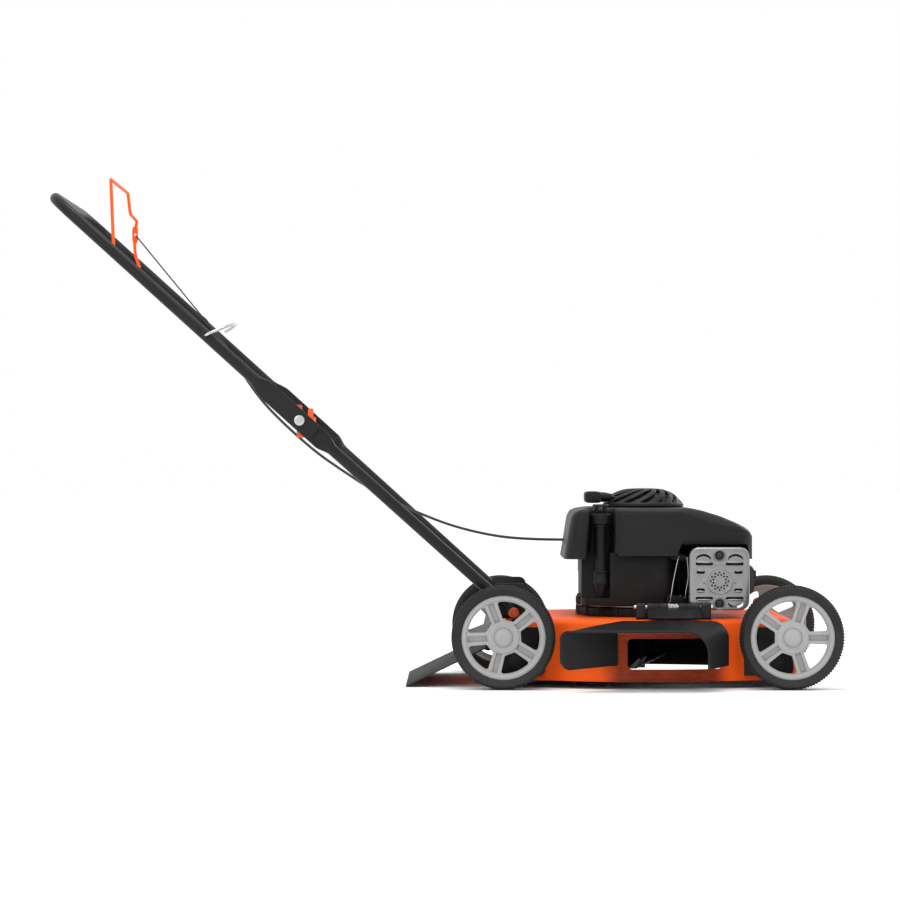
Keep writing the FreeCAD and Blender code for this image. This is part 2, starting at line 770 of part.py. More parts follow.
def muffler_body():
    """Sheet can with an inlet hole towards the cylinder and an outlet underneath."""
    can = rounded_box(486, 588, -172, -84, CAN_BOTTOM, CAN_TOP, 14, "Y")
    can = can.fuse(rounded_box(550, 609, -164, -92, 180, 240, 14, "Y"))
    hollow = rounded_box(488, 586, -170, -86, CAN_BOTTOM + 2, CAN_TOP - 2, 12, "Y")
    hollow = hollow.fuse(rounded_box(552, 607, -162, -94, 182, 238, 12, "Y"))
    inlet = rod(vec(530, -90, BARREL_Z), vec(530, -80, BARREL_Z), 11)
    outlet = rod(vec(566, -128, CAN_BOTTOM - 4), vec(566, -128, CAN_BOTTOM + 6), 9)
    return can.cut(group([hollow, inlet, outlet]))


def guard_screw_places():
    mid_x = (GUARD_REAR + GUARD_FRONT) / 2
    return [vec(mid_x, GUARD_Y, GUARD_SCREW_HIGH), vec(mid_x, GUARD_Y, GUARD_SCREW_LOW)]


def muffler_guard():
    """Pressed heat shield: a dished plate with a ring of holes and rows of slots."""
    x0, x1 = GUARD_REAR, GUARD_FRONT
    z0, z1 = GUARD_BOTTOM, GUARD_TOP
    mid_x = (x0 + x1) / 2
    mid_z = (z0 + z1) / 2
    outer = rounded_box(x0, x1, GUARD_Y, GUARD_Y + 17, z0, z1, 19, "Y")
    inner = rounded_box(x0 + 2, x1 - 2, GUARD_Y + 2, GUARD_Y + 20, z0 + 2, z1 - 2, 17, "Y")
    plate = outer.cut(inner)
    cuts = []
    for radius, start in ((17.0, 0), (12.4, 15)):
        for i in range(12):
            place = polar(vec(mid_x, GUARD_Y - 1, mid_z), radius, start + 30 * i)
            cuts.append(rod(place, place + vec(0, 5, 0), 1.8))
    for side in (-1, 1):
        for z in (16, 33, 49):
            for up in (-1, 1):
                cx = mid_x + side * 31
                cz = mid_z + up * z
                cuts.append(rounded_box(cx - 13, cx + 13, GUARD_Y - 1, GUARD_Y + 4, cz - 2.8, cz + 2.8, 2.5, "Y"))
    for place in guard_screw_places():
        cuts.append(rod(place - Y_AXIS, place + Y_AXIS * 5, 3.2))
    feet = []
    for place in guard_screw_places():
        feet.append(ring(place + Y_AXIS * 2, place + Y_AXIS * 18, 5, 3.2))
    return plate.cut(group(cuts)).fuse(feet).removeSplitter()


def muffler_screws():
    screws = []
    for place in guard_screw_places():
        head = hexagon(place - Y_AXIS * 4, 6, 4, "Y")
        screws.append(head.fuse(rod(place, place + Y_AXIS * 18, 3.2)))
    return group(screws)


def shroud_profile(inset):
    """Side outline of the blower housing, rear to front, with its stepped lower edge.

    The inner outline runs past the lower edge, so that the housing is open below.
    """
    past = 1.0 if inset else 0.0
    rim = SHROUD_LOW - 5 * past
    step = SHROUD_STEP - 20 * past
    window = SHROUD_WINDOW - 40 * past
    return [
        vec(SHROUD_REAR + inset, 0, rim),
        vec(SHROUD_REAR + 4 + inset, 0, 290),
        vec(SHROUD_REAR + 13 + inset, 0, 330),
        vec(SHROUD_REAR + 24 + inset, 0, 343 - inset),
        vec(282, 0, SHROUD_TOP - inset),
        vec(482, 0, SHROUD_TOP - inset),
        vec(508 - inset, 0, 344 - inset),
        vec(548 - inset, 0, 329 - inset),
        vec(588 - inset, 0, 311 - inset),
        vec(SHROUD_FRONT - 6 - inset, 0, 298 - inset),
        vec(SHROUD_FRONT - 2 - inset, 0, 285),
        vec(SHROUD_FRONT - inset, 0, rim),
        vec(SHROUD_FRONT - 4 - 2 * inset, 0, rim),
        vec(SHROUD_FRONT - 9 - 2 * inset, 0, window),
        vec(460, 0, window),
        vec(454, 0, step),
        vec(286, 0, step),
        vec(280, 0, rim),
    ]


def shroud_form(inset):
    half = SHROUD_HALF - inset
    pts = [p + vec(0, -half, 0) for p in shroud_profile(inset)]
    side = prism(pts, vec(0, 2 * half, 0))
    if inset == 0:
        apron = box(SHROUD_REAR, SHROUD_FRONT - 4, half - SHROUD_WALL, half, SHROUD_APRON, SHROUD_WINDOW + 8)
        side = side.fuse(apron)
    plan = rounded_box(SHROUD_REAR + inset, SHROUD_FRONT - inset, -half, half, 200, 400, 34 - inset)
    return side.common(plan)


def blower_shroud():
    """Hollow blower housing over the flywheel and cylinder, open below, notched for the oil tube."""
    outer = shroud_form(0.0)
    notch_outer = rounded_box(276, 334, -190, -94, 200, 400, 12)
    notch_inner = rounded_box(276 - SHROUD_WALL, 334 + SHROUD_WALL, -190, -94 + SHROUD_WALL, 200, 400, 14)
    inner = shroud_form(SHROUD_WALL).cut(notch_inner)
    shell = outer.cut(notch_outer).cut(inner)
    eye = rod(vec(CRANK_X, 0, 340), vec(CRANK_X, 0, 360), 66)
    cable_way = rod(vec(225, 66.5, 283), vec(240, 66.5, 283), 5)
    seat = box(CASE_REAR - 0.2, CASE_FRONT + 0.3, CASE_RIGHT - 0.3, CASE_LEFT + 0.3, 240, CASE_TOP)
    return shell.cut(eye).cut(cable_way).cut(seat).removeSplitter()


def recoil_cover():
    """Domed starter cover with a whorl of curved air slots."""
    profile = [
        vec(66, 0, SHROUD_TOP + 0.3),
        vec(DOME_R, 0, SHROUD_TOP + 0.3),
        vec(DOME_R, 0, 357),
        vec(70, 0, 376),
        vec(52, 0, 387),
        vec(30, 0, DOME_TOP),
        vec(0, 0, DOME_TOP),
        vec(0, 0, DOME_TOP - 3),
        vec(28, 0, DOME_TOP - 3),
        vec(50, 0, 383),
        vec(66, 0, 373),
        vec(74, 0, 356),
        vec(66, 0, 356),
    ]
    shell = Part.Face(Part.makePolygon(profile + [profile[0]])).revolve(vec(0, 0, 0), Z_AXIS, 360)
    cuts = []
    for i in range(18):
        slot = box(38, 72, -2.4, 2.4, 360, 400)
        slot.rotate(vec(38, 0, 0), Z_AXIS, 38)
        slot.rotate(vec(0, 0, 0), Z_AXIS, 20 * i)
        cuts.append(slot)
    keep_out = ring(vec(0, 0, 355), vec(0, 0, 400), 73, 36)
    slots = group(cuts).common(keep_out)
    cover = shell.cut(slots)
    cover.translate(vec(CRANK_X, 0, 0))
    outlet = rod(vec(300, -30, 371), vec(345, -30, 371), 11.5)
    return cover.cut(outlet)


def starter_pulley():
    """The rope drum under the recoil cover."""
    drum = rod(vec(CRANK_X, 0, 326), vec(CRANK_X, 0, 344), 44)
    groove = ring(vec(CRANK_X, 0, 331), vec(CRANK_X, 0, 339), 46, 32)
    return drum.cut(groove)


def starter_handle():
    """T-shaped pull grip parked behind the recoil cover, with its neck."""
    grip = rounded_box(279, 313, -66, 6, 360, 383, 9, "Y")
    neck = Part.makeCone(10.5, 6.5, 27, vec(311, -30, 371), X_AXIS)
    rope = rod(vec(330, -30, 371), vec(344, -30, 371), 2.2)
    return fuse_all([grip, neck, rope])


def oil_fill_tube():
    x, y = OIL_X, OIL_Y
    parts = [
        rod(vec(x, y, OIL_SEAT_Z), vec(x, y, 199), 12),
        rod(vec(x, y, 199), vec(x, y, 226), 14.5),
        Part.makeCone(12, 13.5, 94, vec(x, y, 226), Z_AXIS),
    ]
    return fuse_all(parts).cut(rod(vec(x, y, 178), vec(x, y, 325), 9))


def oil_dipstick():
    x, y = OIL_X, OIL_Y
    parts = [
        rod(vec(x, y, 320.3), vec(x, y, 340), 20),
        rounded_box(x - 15, x + 15, y - 4, y + 4, 338, 355, 5, "Y"),
        rod(vec(x, y, 306), vec(x, y, 321), 8.4),
        rod(vec(x, y, 190), vec(x, y, 307), 2),
    ]
    return fuse_all(parts)


def fuel_tank():
    tank = rounded_box(TANK_REAR, TANK_FRONT, TANK_RIGHT, TANK_LEFT, TANK_BOTTOM, TANK_TOP, 24)
    edges = []
    for edge in tank.Edges:
        if edge.BoundBox.ZLength < 0.1:
            edges.append(edge)
    tank = tank.makeFillet(10, edges)
    neck = rod(vec(CAP_X, CAP_Y, TANK_TOP - 8), vec(CAP_X, CAP_Y, TANK_TOP + 8), 17)
    cavity = rounded_box(
        TANK_REAR + 4, TANK_FRONT - 4, TANK_RIGHT + 4, TANK_LEFT - 4, TANK_BOTTOM + 4, TANK_TOP - 4, 20
    )
    way = rod(vec(CAP_X, CAP_Y, TANK_TOP - 13), vec(CAP_X, CAP_Y, TANK_TOP + 12), 13.5)
    return tank.fuse(neck).cut(cavity).cut(way).removeSplitter()


def fuel_cap():
    foot = vec(CAP_X, CAP_Y, TANK_TOP + 4)
    cap = rod(foot, foot + Z_AXIS * 18, 25)
    cuts = [rod(foot - Z_AXIS, foot + Z_AXIS * 5, 17 + FIT)]
    for i in range(12):
        turn = i * math.pi / 6
        place = foot + vec(25.5 * math.cos(turn), 25.5 * math.sin(turn), -2)
        cuts.append(rod(place, place + Z_AXIS * 22, 2.2))
    return cap.cut(group(cuts))


def carburettor():
    parts = [
        rounded_box(474, 522, 64, 120, 212, 262, 8),
        rod(vec(498, 104, 236), vec(498, 159, 236), 16),
        rod(vec(498, 96, 190), vec(498, 96, 214), 19),
    ]
    return fuse_all(parts)


def air_filter_cover():
    """Moulded cover, open towards the engine, over the carburettor's intake."""
    cover = rounded_box(446, 574, 159, 214, 196, 300, 16, "Y")
    hollow = rounded_box(448.5, 571.5, 150, 211.5, 198.5, 297.5, 13.5, "Y")
    return cover.cut(hollow)


def governor_linkage():
    """The throttle lever and two thin rods beside the cylinder."""
    parts = [
        pipe([vec(452, -150, 262), vec(446, -152, 214), vec(441, -150, 160)], 1.4),
        pipe([vec(470, -146, 258), vec(474, -150, 214), vec(468, -146, 176)], 1.4),
        rounded_box(446, 478, -151, -147.5, 250, 262, 4, "Y"),
        rounded_box(438, 474, -151, -147.5, 158, 180, 4, "Y"),
        box(450, 456, -151, -132, 253, 258),
    ]
    return fuse_all(parts)


def brake_lever():
    """Flywheel brake lever under the rear of the housing; the stop cable pulls its free end."""
    arm = rounded_box(248, 292, 36, 48, 268, 271, 5)
    boss = rod(vec(284, 42, 262), vec(284, 42, 273), 8)
    post = rod(vec(252, 42, 268), vec(252, 42, 290), 3)
    return fuse_all([arm, boss, post]).cut(rod(vec(284, 42, 260), vec(284, 42, 275), 3 + FIT))


# ---------------------------------------------------------------- handle


def along_tube(side, shape, half):
    """Put a shape drawn along +X from the fold pivot, with local Z across the tube, onto the upper tube."""
    slope = math.degrees(math.atan2(BAR_Z - PIVOT_Z, BAR_X - PIVOT_X))
    placed = shape.copy()
    placed.rotate(vec(0, 0, 0), Y_AXIS, -slope)
    placed.translate(vec(PIVOT_X, side * half, PIVOT_Z))
    return placed


def flat_end(start, end, y0, y1):
    """A flattened tube end, from its taper at start to its round tip at end, in tube coordinates."""
    low, high = min(start, end), max(start, end)
    plate = rounded_box(low, high, y0, y1, -FLAT_HEIGHT / 2, FLAT_HEIGHT / 2, 12, "Y")
    return plate


def taper(x_round, x_flat, y0, y1):
    """The swage between the round tube and the flattened end."""
    r = TUBE_R * 0.86
    round_end = [
        vec(x_round, -r, -r),
        vec(x_round, r, -r),
        vec(x_round, r, r),
        vec(x_round, -r, r),
    ]
    h = FLAT_HEIGHT / 2
    flat = [
        vec(x_flat, y0, -h),
        vec(x_flat, y1, -h),
        vec(x_flat, y1, h),
        vec(x_flat, y0, h),
    ]
    wires = [Part.makePolygon(p + [p[0]]) for p in (round_end, flat)]
    return Part.makeLoft(wires, True, True)


def upper_handle():
    """U-shaped upper handle with flattened ends outside the lower handle."""
    span = vec(BAR_X - PIVOT_X, 0, BAR_Z - PIVOT_Z)
    way = vec(span.x, 0, span.z).normalize()
    foot = vec(PIVOT_X, 0, PIVOT_Z) + way * 118
    top = vec(BAR_X, 0, BAR_Z)
    y = Y_AXIS * UPPER_HALF
    route = [foot - y, top - y, top + y, foot + y]
    shapes = [pipe(route, TUBE_R, 62).cut(pipe(route, TUBE_R - TUBE_WALL, 62))]
    for side, _ in SIDES:
        y0 = side * 0.4
        y1 = side * (0.4 + FLAT_THICK)
        plate = flat_end(-40, 88, y0, y1)
        swage = taper(122, 78, min(y0, y1), max(y0, y1))
        shapes.append(along_tube(side, plate, UPPER_HALF))
        shapes.append(along_tube(side, swage, UPPER_HALF))
    whole = fuse_all(shapes)
    bore = rod(vec(PIVOT_X, -300, PIVOT_Z), vec(PIVOT_X, 300, PIVOT_Z), BOLT_R + FIT)
    cuts = [bore]
    pin_reach = UPPER_HALF + TUBE_R - 2
    pin_a = vec(BAIL_PIVOT_X, -pin_reach, BAIL_PIVOT_Z)
    pin_b = vec(BAIL_PIVOT_X, pin_reach, BAIL_PIVOT_Z)
    cuts.append(rod(pin_a, pin_b, BAIL_R + FIT))
    cuts.append(rod(vec(-466, -270, 691), vec(-466, -235, 691), 3.0))
    return whole.cut(group(cuts))


def lower_tube_frame(side):
    top = vec(PIVOT_X, side * LOWER_HALF_TOP, PIVOT_Z)
    end = vec(LOWER_END_X, side * LOWER_HALF_END, LOWER_END_Z)
    return top, end, (end - top).normalize()


def lower_bolt_places(side):
    """Where the two bracket bolts cross the lower tube, and the tube's direction."""
    top, end, way = lower_tube_frame(side)
    return [(end, way), (end - way * 42, way)]


def lower_handle(side):
    """One straight lower tube, flattened at the fold and drilled at the deck bracket."""
    top, end, way = lower_tube_frame(side)
    tube = ring(top + way * 70, end + way * 16, TUBE_R, TUBE_R - TUBE_WALL)
    y0 = side * -0.4
    y1 = side * -(0.4 + FLAT_THICK)
    plate = flat_end(-66, 24, y0, y1)
    plate = along_tube(side, plate, UPPER_HALF)
    slope = math.degrees(math.atan2(BAR_Z - PIVOT_Z, BAR_X - PIVOT_X))
    r = TUBE_R * 0.84
    shift = LOWER_HALF_TOP + (LOWER_HALF_END - LOWER_HALF_TOP) * 84 / 553 - UPPER_HALF
    shift = side * shift
    h = FLAT_HEIGHT / 2
    a, b = min(y0, y1), max(y0, y1)
    flat = [vec(-56, a, -h), vec(-56, b, -h), vec(-56, b, h), vec(-56, a, h)]
    square = [vec(-84, shift - r, -r), vec(-84, shift + r, -r), vec(-84, shift + r, r), vec(-84, shift - r, r)]
    wires = [Part.makePolygon(p + [p[0]]) for p in (flat, square)]
    swage = Part.makeLoft(wires, True, True)
    swage.rotate(vec(0, 0, 0), Y_AXIS, -slope)
    swage.translate(vec(PIVOT_X, side * UPPER_HALF, PIVOT_Z))
    whole = fuse_all([tube, plate, swage])
    whole = whole.cut(rod(vec(PIVOT_X, -300, PIVOT_Z), vec(PIVOT_X, 300, PIVOT_Z), BOLT_R))
    for place, _ in lower_bolt_places(side):
        hole = rod(vec(place.x, side * 160, place.z), vec(place.x, side * 230, place.z), 3.2)
        whole = whole.cut(hole)
    return whole


def handle_bolts():
    """Fold pivot bolts with an eye for the cam lever, and the bracket bolts."""
    bolts = []
    for side, _ in SIDES:
        head = rod(vec(PIVOT_X, side * 258.6, PIVOT_Z), vec(PIVOT_X, side * 265.5, PIVOT_Z), 10)
        shank = rod(vec(PIVOT_X, side * 211, PIVOT_Z), vec(PIVOT_X, side * 258.6, PIVOT_Z), BOLT_R)
        eye = rod(vec(PIVOT_X - 4, side * 208, PIVOT_Z), vec(PIVOT_X + 4, side * 208, PIVOT_Z), 5)
        hole = rod(vec(PIVOT_X - 9, side * 208, PIVOT_Z), vec(PIVOT_X + 9, side * 208, PIVOT_Z), 2.5 + FIT)
        bolts.append(fuse_all([head, shank, eye]).cut(hole))
        for place, _ in lower_bolt_places(side):
            start = vec(place.x, side * 161, place.z)
            outer = abs(place.y) + TUBE_R + 1
            end = vec(place.x, side * outer, place.z)
            cap = rod(end, end + vec(0, side * 3, 0), 6.5)
            nut = hexagon(vec(place.x, side * 161 - 2.5, place.z), 6, 5, "Y")
            bolts.append(fuse_all([rod(start, end, 3.2), cap, nut]))
    return group(bolts)


def cam_saddles():
    """Moulded washers between the lower tube's flat and each cam."""
    saddles = []
    for side, _ in SIDES:
        inner = 245.2 - 27.2
        saddle = rounded_box(PIVOT_X - 8, PIVOT_X + 8, side * inner, side * 245.2, PIVOT_Z - 14, PIVOT_Z + 14, 5, "Y")
        fin = rounded_box(PIVOT_X - 8, PIVOT_X + 3, side * inner, side * (inner + 6), PIVOT_Z, PIVOT_Z + 31, 3, "Y")
        bore = rod(vec(PIVOT_X, side * 200, PIVOT_Z), vec(PIVOT_X, side * 250, PIVOT_Z), BOLT_R)
        saddles.append(fuse_all([saddle, fin]).cut(bore))
    return group(saddles)


def cam_lever(side):
    """Quick-release lever that hangs beside the bolt's eye and swings inwards to open."""
    y = side * 208
    centre_a = vec(PIVOT_X - 8, y, PIVOT_Z)
    centre_b = vec(PIVOT_X + 8, y, PIVOT_Z)
    head = rod(centre_a, centre_b, 9)
    arm = rounded_box(PIVOT_X - 8, PIVOT_X + 8, y - 3, y + 3, PIVOT_Z - 33.5, PIVOT_Z - 4, 4, "Y")
    slot = box(PIVOT_X - 4.3, PIVOT_X + 4.3, y - 12, y + 12, PIVOT_Z - 7, PIVOT_Z + 12)
    pin = rod(centre_a, centre_b, 2.5)
    return fuse_all([head, arm]).cut(slot).fuse(pin).removeSplitter()


def bail():
    """Operator-presence bail: a bent wire with pivot pins, one jogged leg and its cable tab."""
    route = [
        vec(BAIL_PIVOT_X, -UPPER_HALF - 4, BAIL_PIVOT_Z),
        vec(BAIL_PIVOT_X, -BAIL_LEG_Y, BAIL_PIVOT_Z),
        vec(BAIL_PIVOT_X - 16, -BAIL_HALF, BAIL_TOP_Z),
        vec(BAIL_PIVOT_X - 16, BAIL_HALF, BAIL_TOP_Z),
        vec(BAIL_PIVOT_X - 9, BAIL_HALF, 958),
        vec(BAIL_PIVOT_X - 6, BAIL_LEG_Y, 944),
        vec(BAIL_PIVOT_X, BAIL_LEG_Y, BAIL_PIVOT_Z),
        vec(BAIL_PIVOT_X, UPPER_HALF + 4, BAIL_PIVOT_Z),
    ]
    wire = pipe(route, BAIL_R, 12)
    tab = rounded_box(-654, -642, BAIL_LEG_Y - 2, BAIL_LEG_Y + 2, 884, 918, 4, "Y")
    hole = rod(vec(-646, 220, 909), vec(-646, 236, 909), 1.8)
    return fuse_all([wire, tab]).cut(hole)


def rope_guide():
    """Open wire eye on the right tube that parks the starter rope."""
    route = [
        vec(-466, -266, 691),
        vec(-466, -228, 691),
        vec(-452, -204, 697),
        vec(-416, -200, 709),
        vec(-403, -222, 712),
        vec(-420, -238, 705),
        vec(-442, -222, 698),
    ]
    return pipe(route, 3.0, 14)


# ---------------------------------------------------------------- stop cable


def cable_points():
    return [vec(*p) for p in CABLE_ROUTE]


def brake_cable(front):
    """The sheath, split where it crosses the fold so that each side moves with its own tube."""
    tube = pipe(cable_points(), CABLE_R)
    if front:
        keep = box(CABLE_SPLIT_X + 0.5, 300, 0, 300, 0, 900)
    else:
        keep = box(-600, CABLE_SPLIT_X - 0.5, 0, 300, 0, 900)
    return tube.common(keep)


def brake_wire():
    """Bare inner wire from the bail's tab to the sheath's ferrule, with the ferrule's clip on the tube."""
    end = vec(*CABLE_ROUTE[0])
    start = vec(-643.5, BAIL_LEG_Y - 4, 904)
    way = (end - start).normalize()
    wire = rod(start, end, WIRE_R)
    ferrule = rod(end - way * 14, end, 3.6)
    return fuse_all([wire, ferrule])


def report_cable():
    points = cable_points()
    radii = bend_radii(points, 0.45)
    print("cable arc radii mm:", [round(r) for r in radii])
    tube = pipe(points, CABLE_R)
    length = tube.Volume / (math.pi * CABLE_R ** 2)
    print("cable volume / section mm:", round(length, 1))


# ---------------------------------------------------------------- all nodes


def nodes():
    table = {
        "deck_shell": deck_shell,
        "axle_brackets": axle_brackets,
        "handle_brackets": handle_brackets,
        "flap_hinge_rod": flap_hinge_rod,
        "rear_flap": rear_flap,
        "chute_hinge_bracket": chute_hinge_bracket,
        "chute_hinge_rod": chute_hinge_rod,
        "chute_spring": chute_spring,
        "discharge_deflector": deflector,
        "crankshaft": crankshaft,
        "flywheel": flywheel,
        "blade_adapter": blade_adapter,
        "blade": blade,
        "blade_bolt": blade_bolt,
        "sump_cover": sump_cover,
        "engine_bolts": engine_bolts,
        "crankcase": crankcase,
        "piston_and_rod": piston_and_rod,
        "cylinder_head": cylinder_head,
        "spark_plug": spark_plug,
        "ignition_coil": ignition_coil,
        "muffler_body": muffler_body,
        "muffler_guard": muffler_guard,
        "muffler_screws": muffler_screws,
        "blower_shroud": blower_shroud,
        "recoil_cover": recoil_cover,
        "starter_pulley": starter_pulley,
        "starter_handle": starter_handle,
        "oil_fill_tube": oil_fill_tube,
        "oil_dipstick": oil_dipstick,
        "fuel_tank": fuel_tank,
        "fuel_cap": fuel_cap,
        "carburettor": carburettor,
        "air_filter_cover": air_filter_cover,
        "governor_linkage": governor_linkage,
        "brake_lever": brake_lever,
        "upper_handle": upper_handle,
        "handle_bolts": handle_bolts,
        "cam_saddles": cam_saddles,
        "bail": bail,
        "rope_guide": rope_guide,
        "brake_wire": brake_wire,
        "brake_cable_upper": lambda: brake_cable(False),
        "brake_cable_lower": lambda: brake_cable(True),
    }
    for side, name in SIDES:
        table["lower_handle_" + name] = lambda s=side: lower_handle(s)
        table["cam_lever_" + name] = lambda s=side: cam_lever(s)
        for end, x, spokes in (("front", FRONT_AXLE_X, 0), ("rear", REAR_AXLE_X, 39)):
            turn = spokes if side < 0 else spokes + 20
            table[f"{end}_{name}_rim"] = lambda x=x, s=side, t=turn: rim(x, s, t)
            table[f"{end}_{name}_tyre"] = lambda x=x, s=side: tyre(x, s)
    for end, x, way in (("front", FRONT_AXLE_X, 1), ("rear", REAR_AXLE_X, -1)):
        table[end + "_axle"] = lambda x=x, w=way: axle(x, w)
        table[end + "_lever_knob"] = lambda x=x, w=way: lever_knob(x, w)
    return table


os.makedirs("parts", exist_ok=True)
for node, make in nodes().items():
    shape = make()
    if not shape.isValid():
        print("not valid:", node)
    shape.exportStep("parts/" + node + ".step")
report_cable()
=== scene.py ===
import json
import math

import bmesh
import bpy
from mathutils import Matrix, Vector

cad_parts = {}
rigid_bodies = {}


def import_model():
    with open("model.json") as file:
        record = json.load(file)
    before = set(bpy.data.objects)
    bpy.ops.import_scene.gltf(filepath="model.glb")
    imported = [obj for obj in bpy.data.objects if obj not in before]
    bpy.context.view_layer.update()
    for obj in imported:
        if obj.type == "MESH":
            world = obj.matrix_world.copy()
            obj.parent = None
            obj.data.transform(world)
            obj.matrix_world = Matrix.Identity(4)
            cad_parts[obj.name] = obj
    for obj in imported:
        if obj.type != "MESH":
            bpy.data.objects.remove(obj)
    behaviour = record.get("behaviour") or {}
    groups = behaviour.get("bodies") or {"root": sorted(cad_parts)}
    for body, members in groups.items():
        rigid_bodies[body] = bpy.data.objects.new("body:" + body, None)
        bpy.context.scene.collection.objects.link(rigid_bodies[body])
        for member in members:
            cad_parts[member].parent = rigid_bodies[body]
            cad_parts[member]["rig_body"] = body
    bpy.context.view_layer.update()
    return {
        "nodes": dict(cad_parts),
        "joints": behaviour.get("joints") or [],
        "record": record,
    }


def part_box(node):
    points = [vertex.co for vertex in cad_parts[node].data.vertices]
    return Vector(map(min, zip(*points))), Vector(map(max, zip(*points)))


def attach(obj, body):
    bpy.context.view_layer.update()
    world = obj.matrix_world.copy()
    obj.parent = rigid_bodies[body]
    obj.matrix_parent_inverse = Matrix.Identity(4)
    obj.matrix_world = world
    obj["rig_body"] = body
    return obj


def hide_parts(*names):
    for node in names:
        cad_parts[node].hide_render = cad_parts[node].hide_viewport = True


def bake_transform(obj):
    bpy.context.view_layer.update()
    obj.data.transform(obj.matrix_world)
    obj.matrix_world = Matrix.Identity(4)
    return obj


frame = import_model()
nodes = frame["nodes"]

# Walk-behind side-discharge mower, metres.
# +X is forward, +Y is the operator's left, +Z is up.
MM = 0.001
X = Vector((1, 0, 0))
Y = Vector((0, 1, 0))
Z = Vector((0, 0, 1))


# ---------------------------------------------------------------- camera, light, floor


def camera():
    data = bpy.data.cameras.new("camera")
    data.lens = 119.0
    data.sensor_width = 36.0
    place = Vector((0.034, -6.037, 0.453))
    aim = Vector((0.008, 0.0, 0.4666))
    obj = bpy.data.objects.new("camera", data)
    obj.location = place
    obj.rotation_euler = (aim - place).to_track_quat("-Z", "Y").to_euler()
    bpy.context.scene.collection.objects.link(obj)
    bpy.context.scene.camera = obj


def area_light(name, place, aim, size, power):
    data = bpy.data.lights.new(name, "AREA")
    data.shape = "DISK"
    data.size = size
    data.energy = power
    obj = bpy.data.objects.new(name, data)
    obj.location = place
    obj.rotation_euler = (Vector(aim) - Vector(place)).to_track_quat("-Z", "Y").to_euler()
    bpy.context.scene.collection.objects.link(obj)


def studio():
    """White surroundings, a large soft light overhead and a weaker one on each side."""
    scene = bpy.context.scene
    scene.view_settings.view_transform = "Standard"
    scene.view_settings.look = "None"
    world = bpy.data.worlds.new("studio")
    world.use_nodes = True
    sky = world.node_tree.nodes["Background"]
    sky.inputs["Color"].default_value = (1.0, 1.0, 1.0, 1.0)
    sky.inputs["Strength"].default_value = 1.0
    scene.world = world
    middle = (0.1, 0.0, 0.3)
    area_light("overhead", (0.2, -0.4, 3.2), middle, 1.6, 34)
    area_light("front", (-1.6, -3.2, 1.6), middle, 1.2, 14)
    area_light("rear", (2.2, 2.6, 1.8), middle, 1.2, 12)
    data = bpy.data.lights.new("daylight", "SUN")
    data.energy = 0.55
    data.angle = math.radians(70)
    sun = bpy.data.objects.new("daylight", data)
    sun.rotation_euler = (math.radians(18), math.radians(-8), 0)
    scene.collection.objects.link(sun)


def floor():
    bpy.ops.mesh.primitive_plane_add(size=60.0, location=(0, 0, 0))
    obj = bpy.context.object
    obj.name = "floor"
    mat = bpy.data.materials.new("floor")
    mat.use_nodes = True
    shader = mat.node_tree.nodes["Principled BSDF"]
    shader.inputs["Base Color"].default_value = (0.97, 0.97, 0.97, 1)
    shader.inputs["Roughness"].default_value = 0.9
    shader.inputs["Specular IOR Level"].default_value = 0.1
    obj.data.materials.append(mat)


# ---------------------------------------------------------------- materials


def noise(tree, size, detail=2.0, place=None):
    node = tree.nodes.new("ShaderNodeTexNoise")
    node.inputs["Scale"].default_value = size
    node.inputs["Detail"].default_value = detail
    if place:
        tree.links.new(place, node.inputs["Vector"])
    return node.outputs["Fac"]


def mapped(tree, value, low, high, to_low, to_high, kind="LINEAR"):
    """Value carried from one range to another and held at its ends."""
    node = tree.nodes.new("ShaderNodeMapRange")
    node.interpolation_type = kind
    node.inputs["From Min"].default_value = low
    node.inputs["From Max"].default_value = high
    node.inputs["To Min"].default_value = to_low
    node.inputs["To Max"].default_value = to_high
    tree.links.new(value, node.inputs["Value"])
    return node.outputs["Result"]


def times(tree, a, b):
    node = tree.nodes.new("ShaderNodeMath")
    node.operation = "MULTIPLY"
    tree.links.new(a, node.inputs[0])
    tree.links.new(b, node.inputs[1])
    return node.outputs["Value"]


def object_axes(tree):
    """The object-space position, as a node with one output for each axis."""
    place = tree.nodes.new("ShaderNodeTexCoord")
    split = tree.nodes.new("ShaderNodeSeparateXYZ")
    tree.links.new(place.outputs["Object"], split.inputs["Vector"])
    return split


def overlay(mat, colour, amount):
    """Mixes another colour over the base colour."""
    tree = mat.node_tree
    shader = tree.nodes["Principled BSDF"]
    base = shader.inputs["Base Color"].links[0].from_socket
    mix = tree.nodes.new("ShaderNodeMix")
    mix.data_type = "RGBA"
    mix.inputs["B"].default_value = (*colour, 1)
    tree.links.new(amount, mix.inputs["Factor"])
    tree.links.new(base, mix.inputs["A"])
    tree.links.new(mix.outputs["Result"], shader.inputs["Base Color"])
    return mat


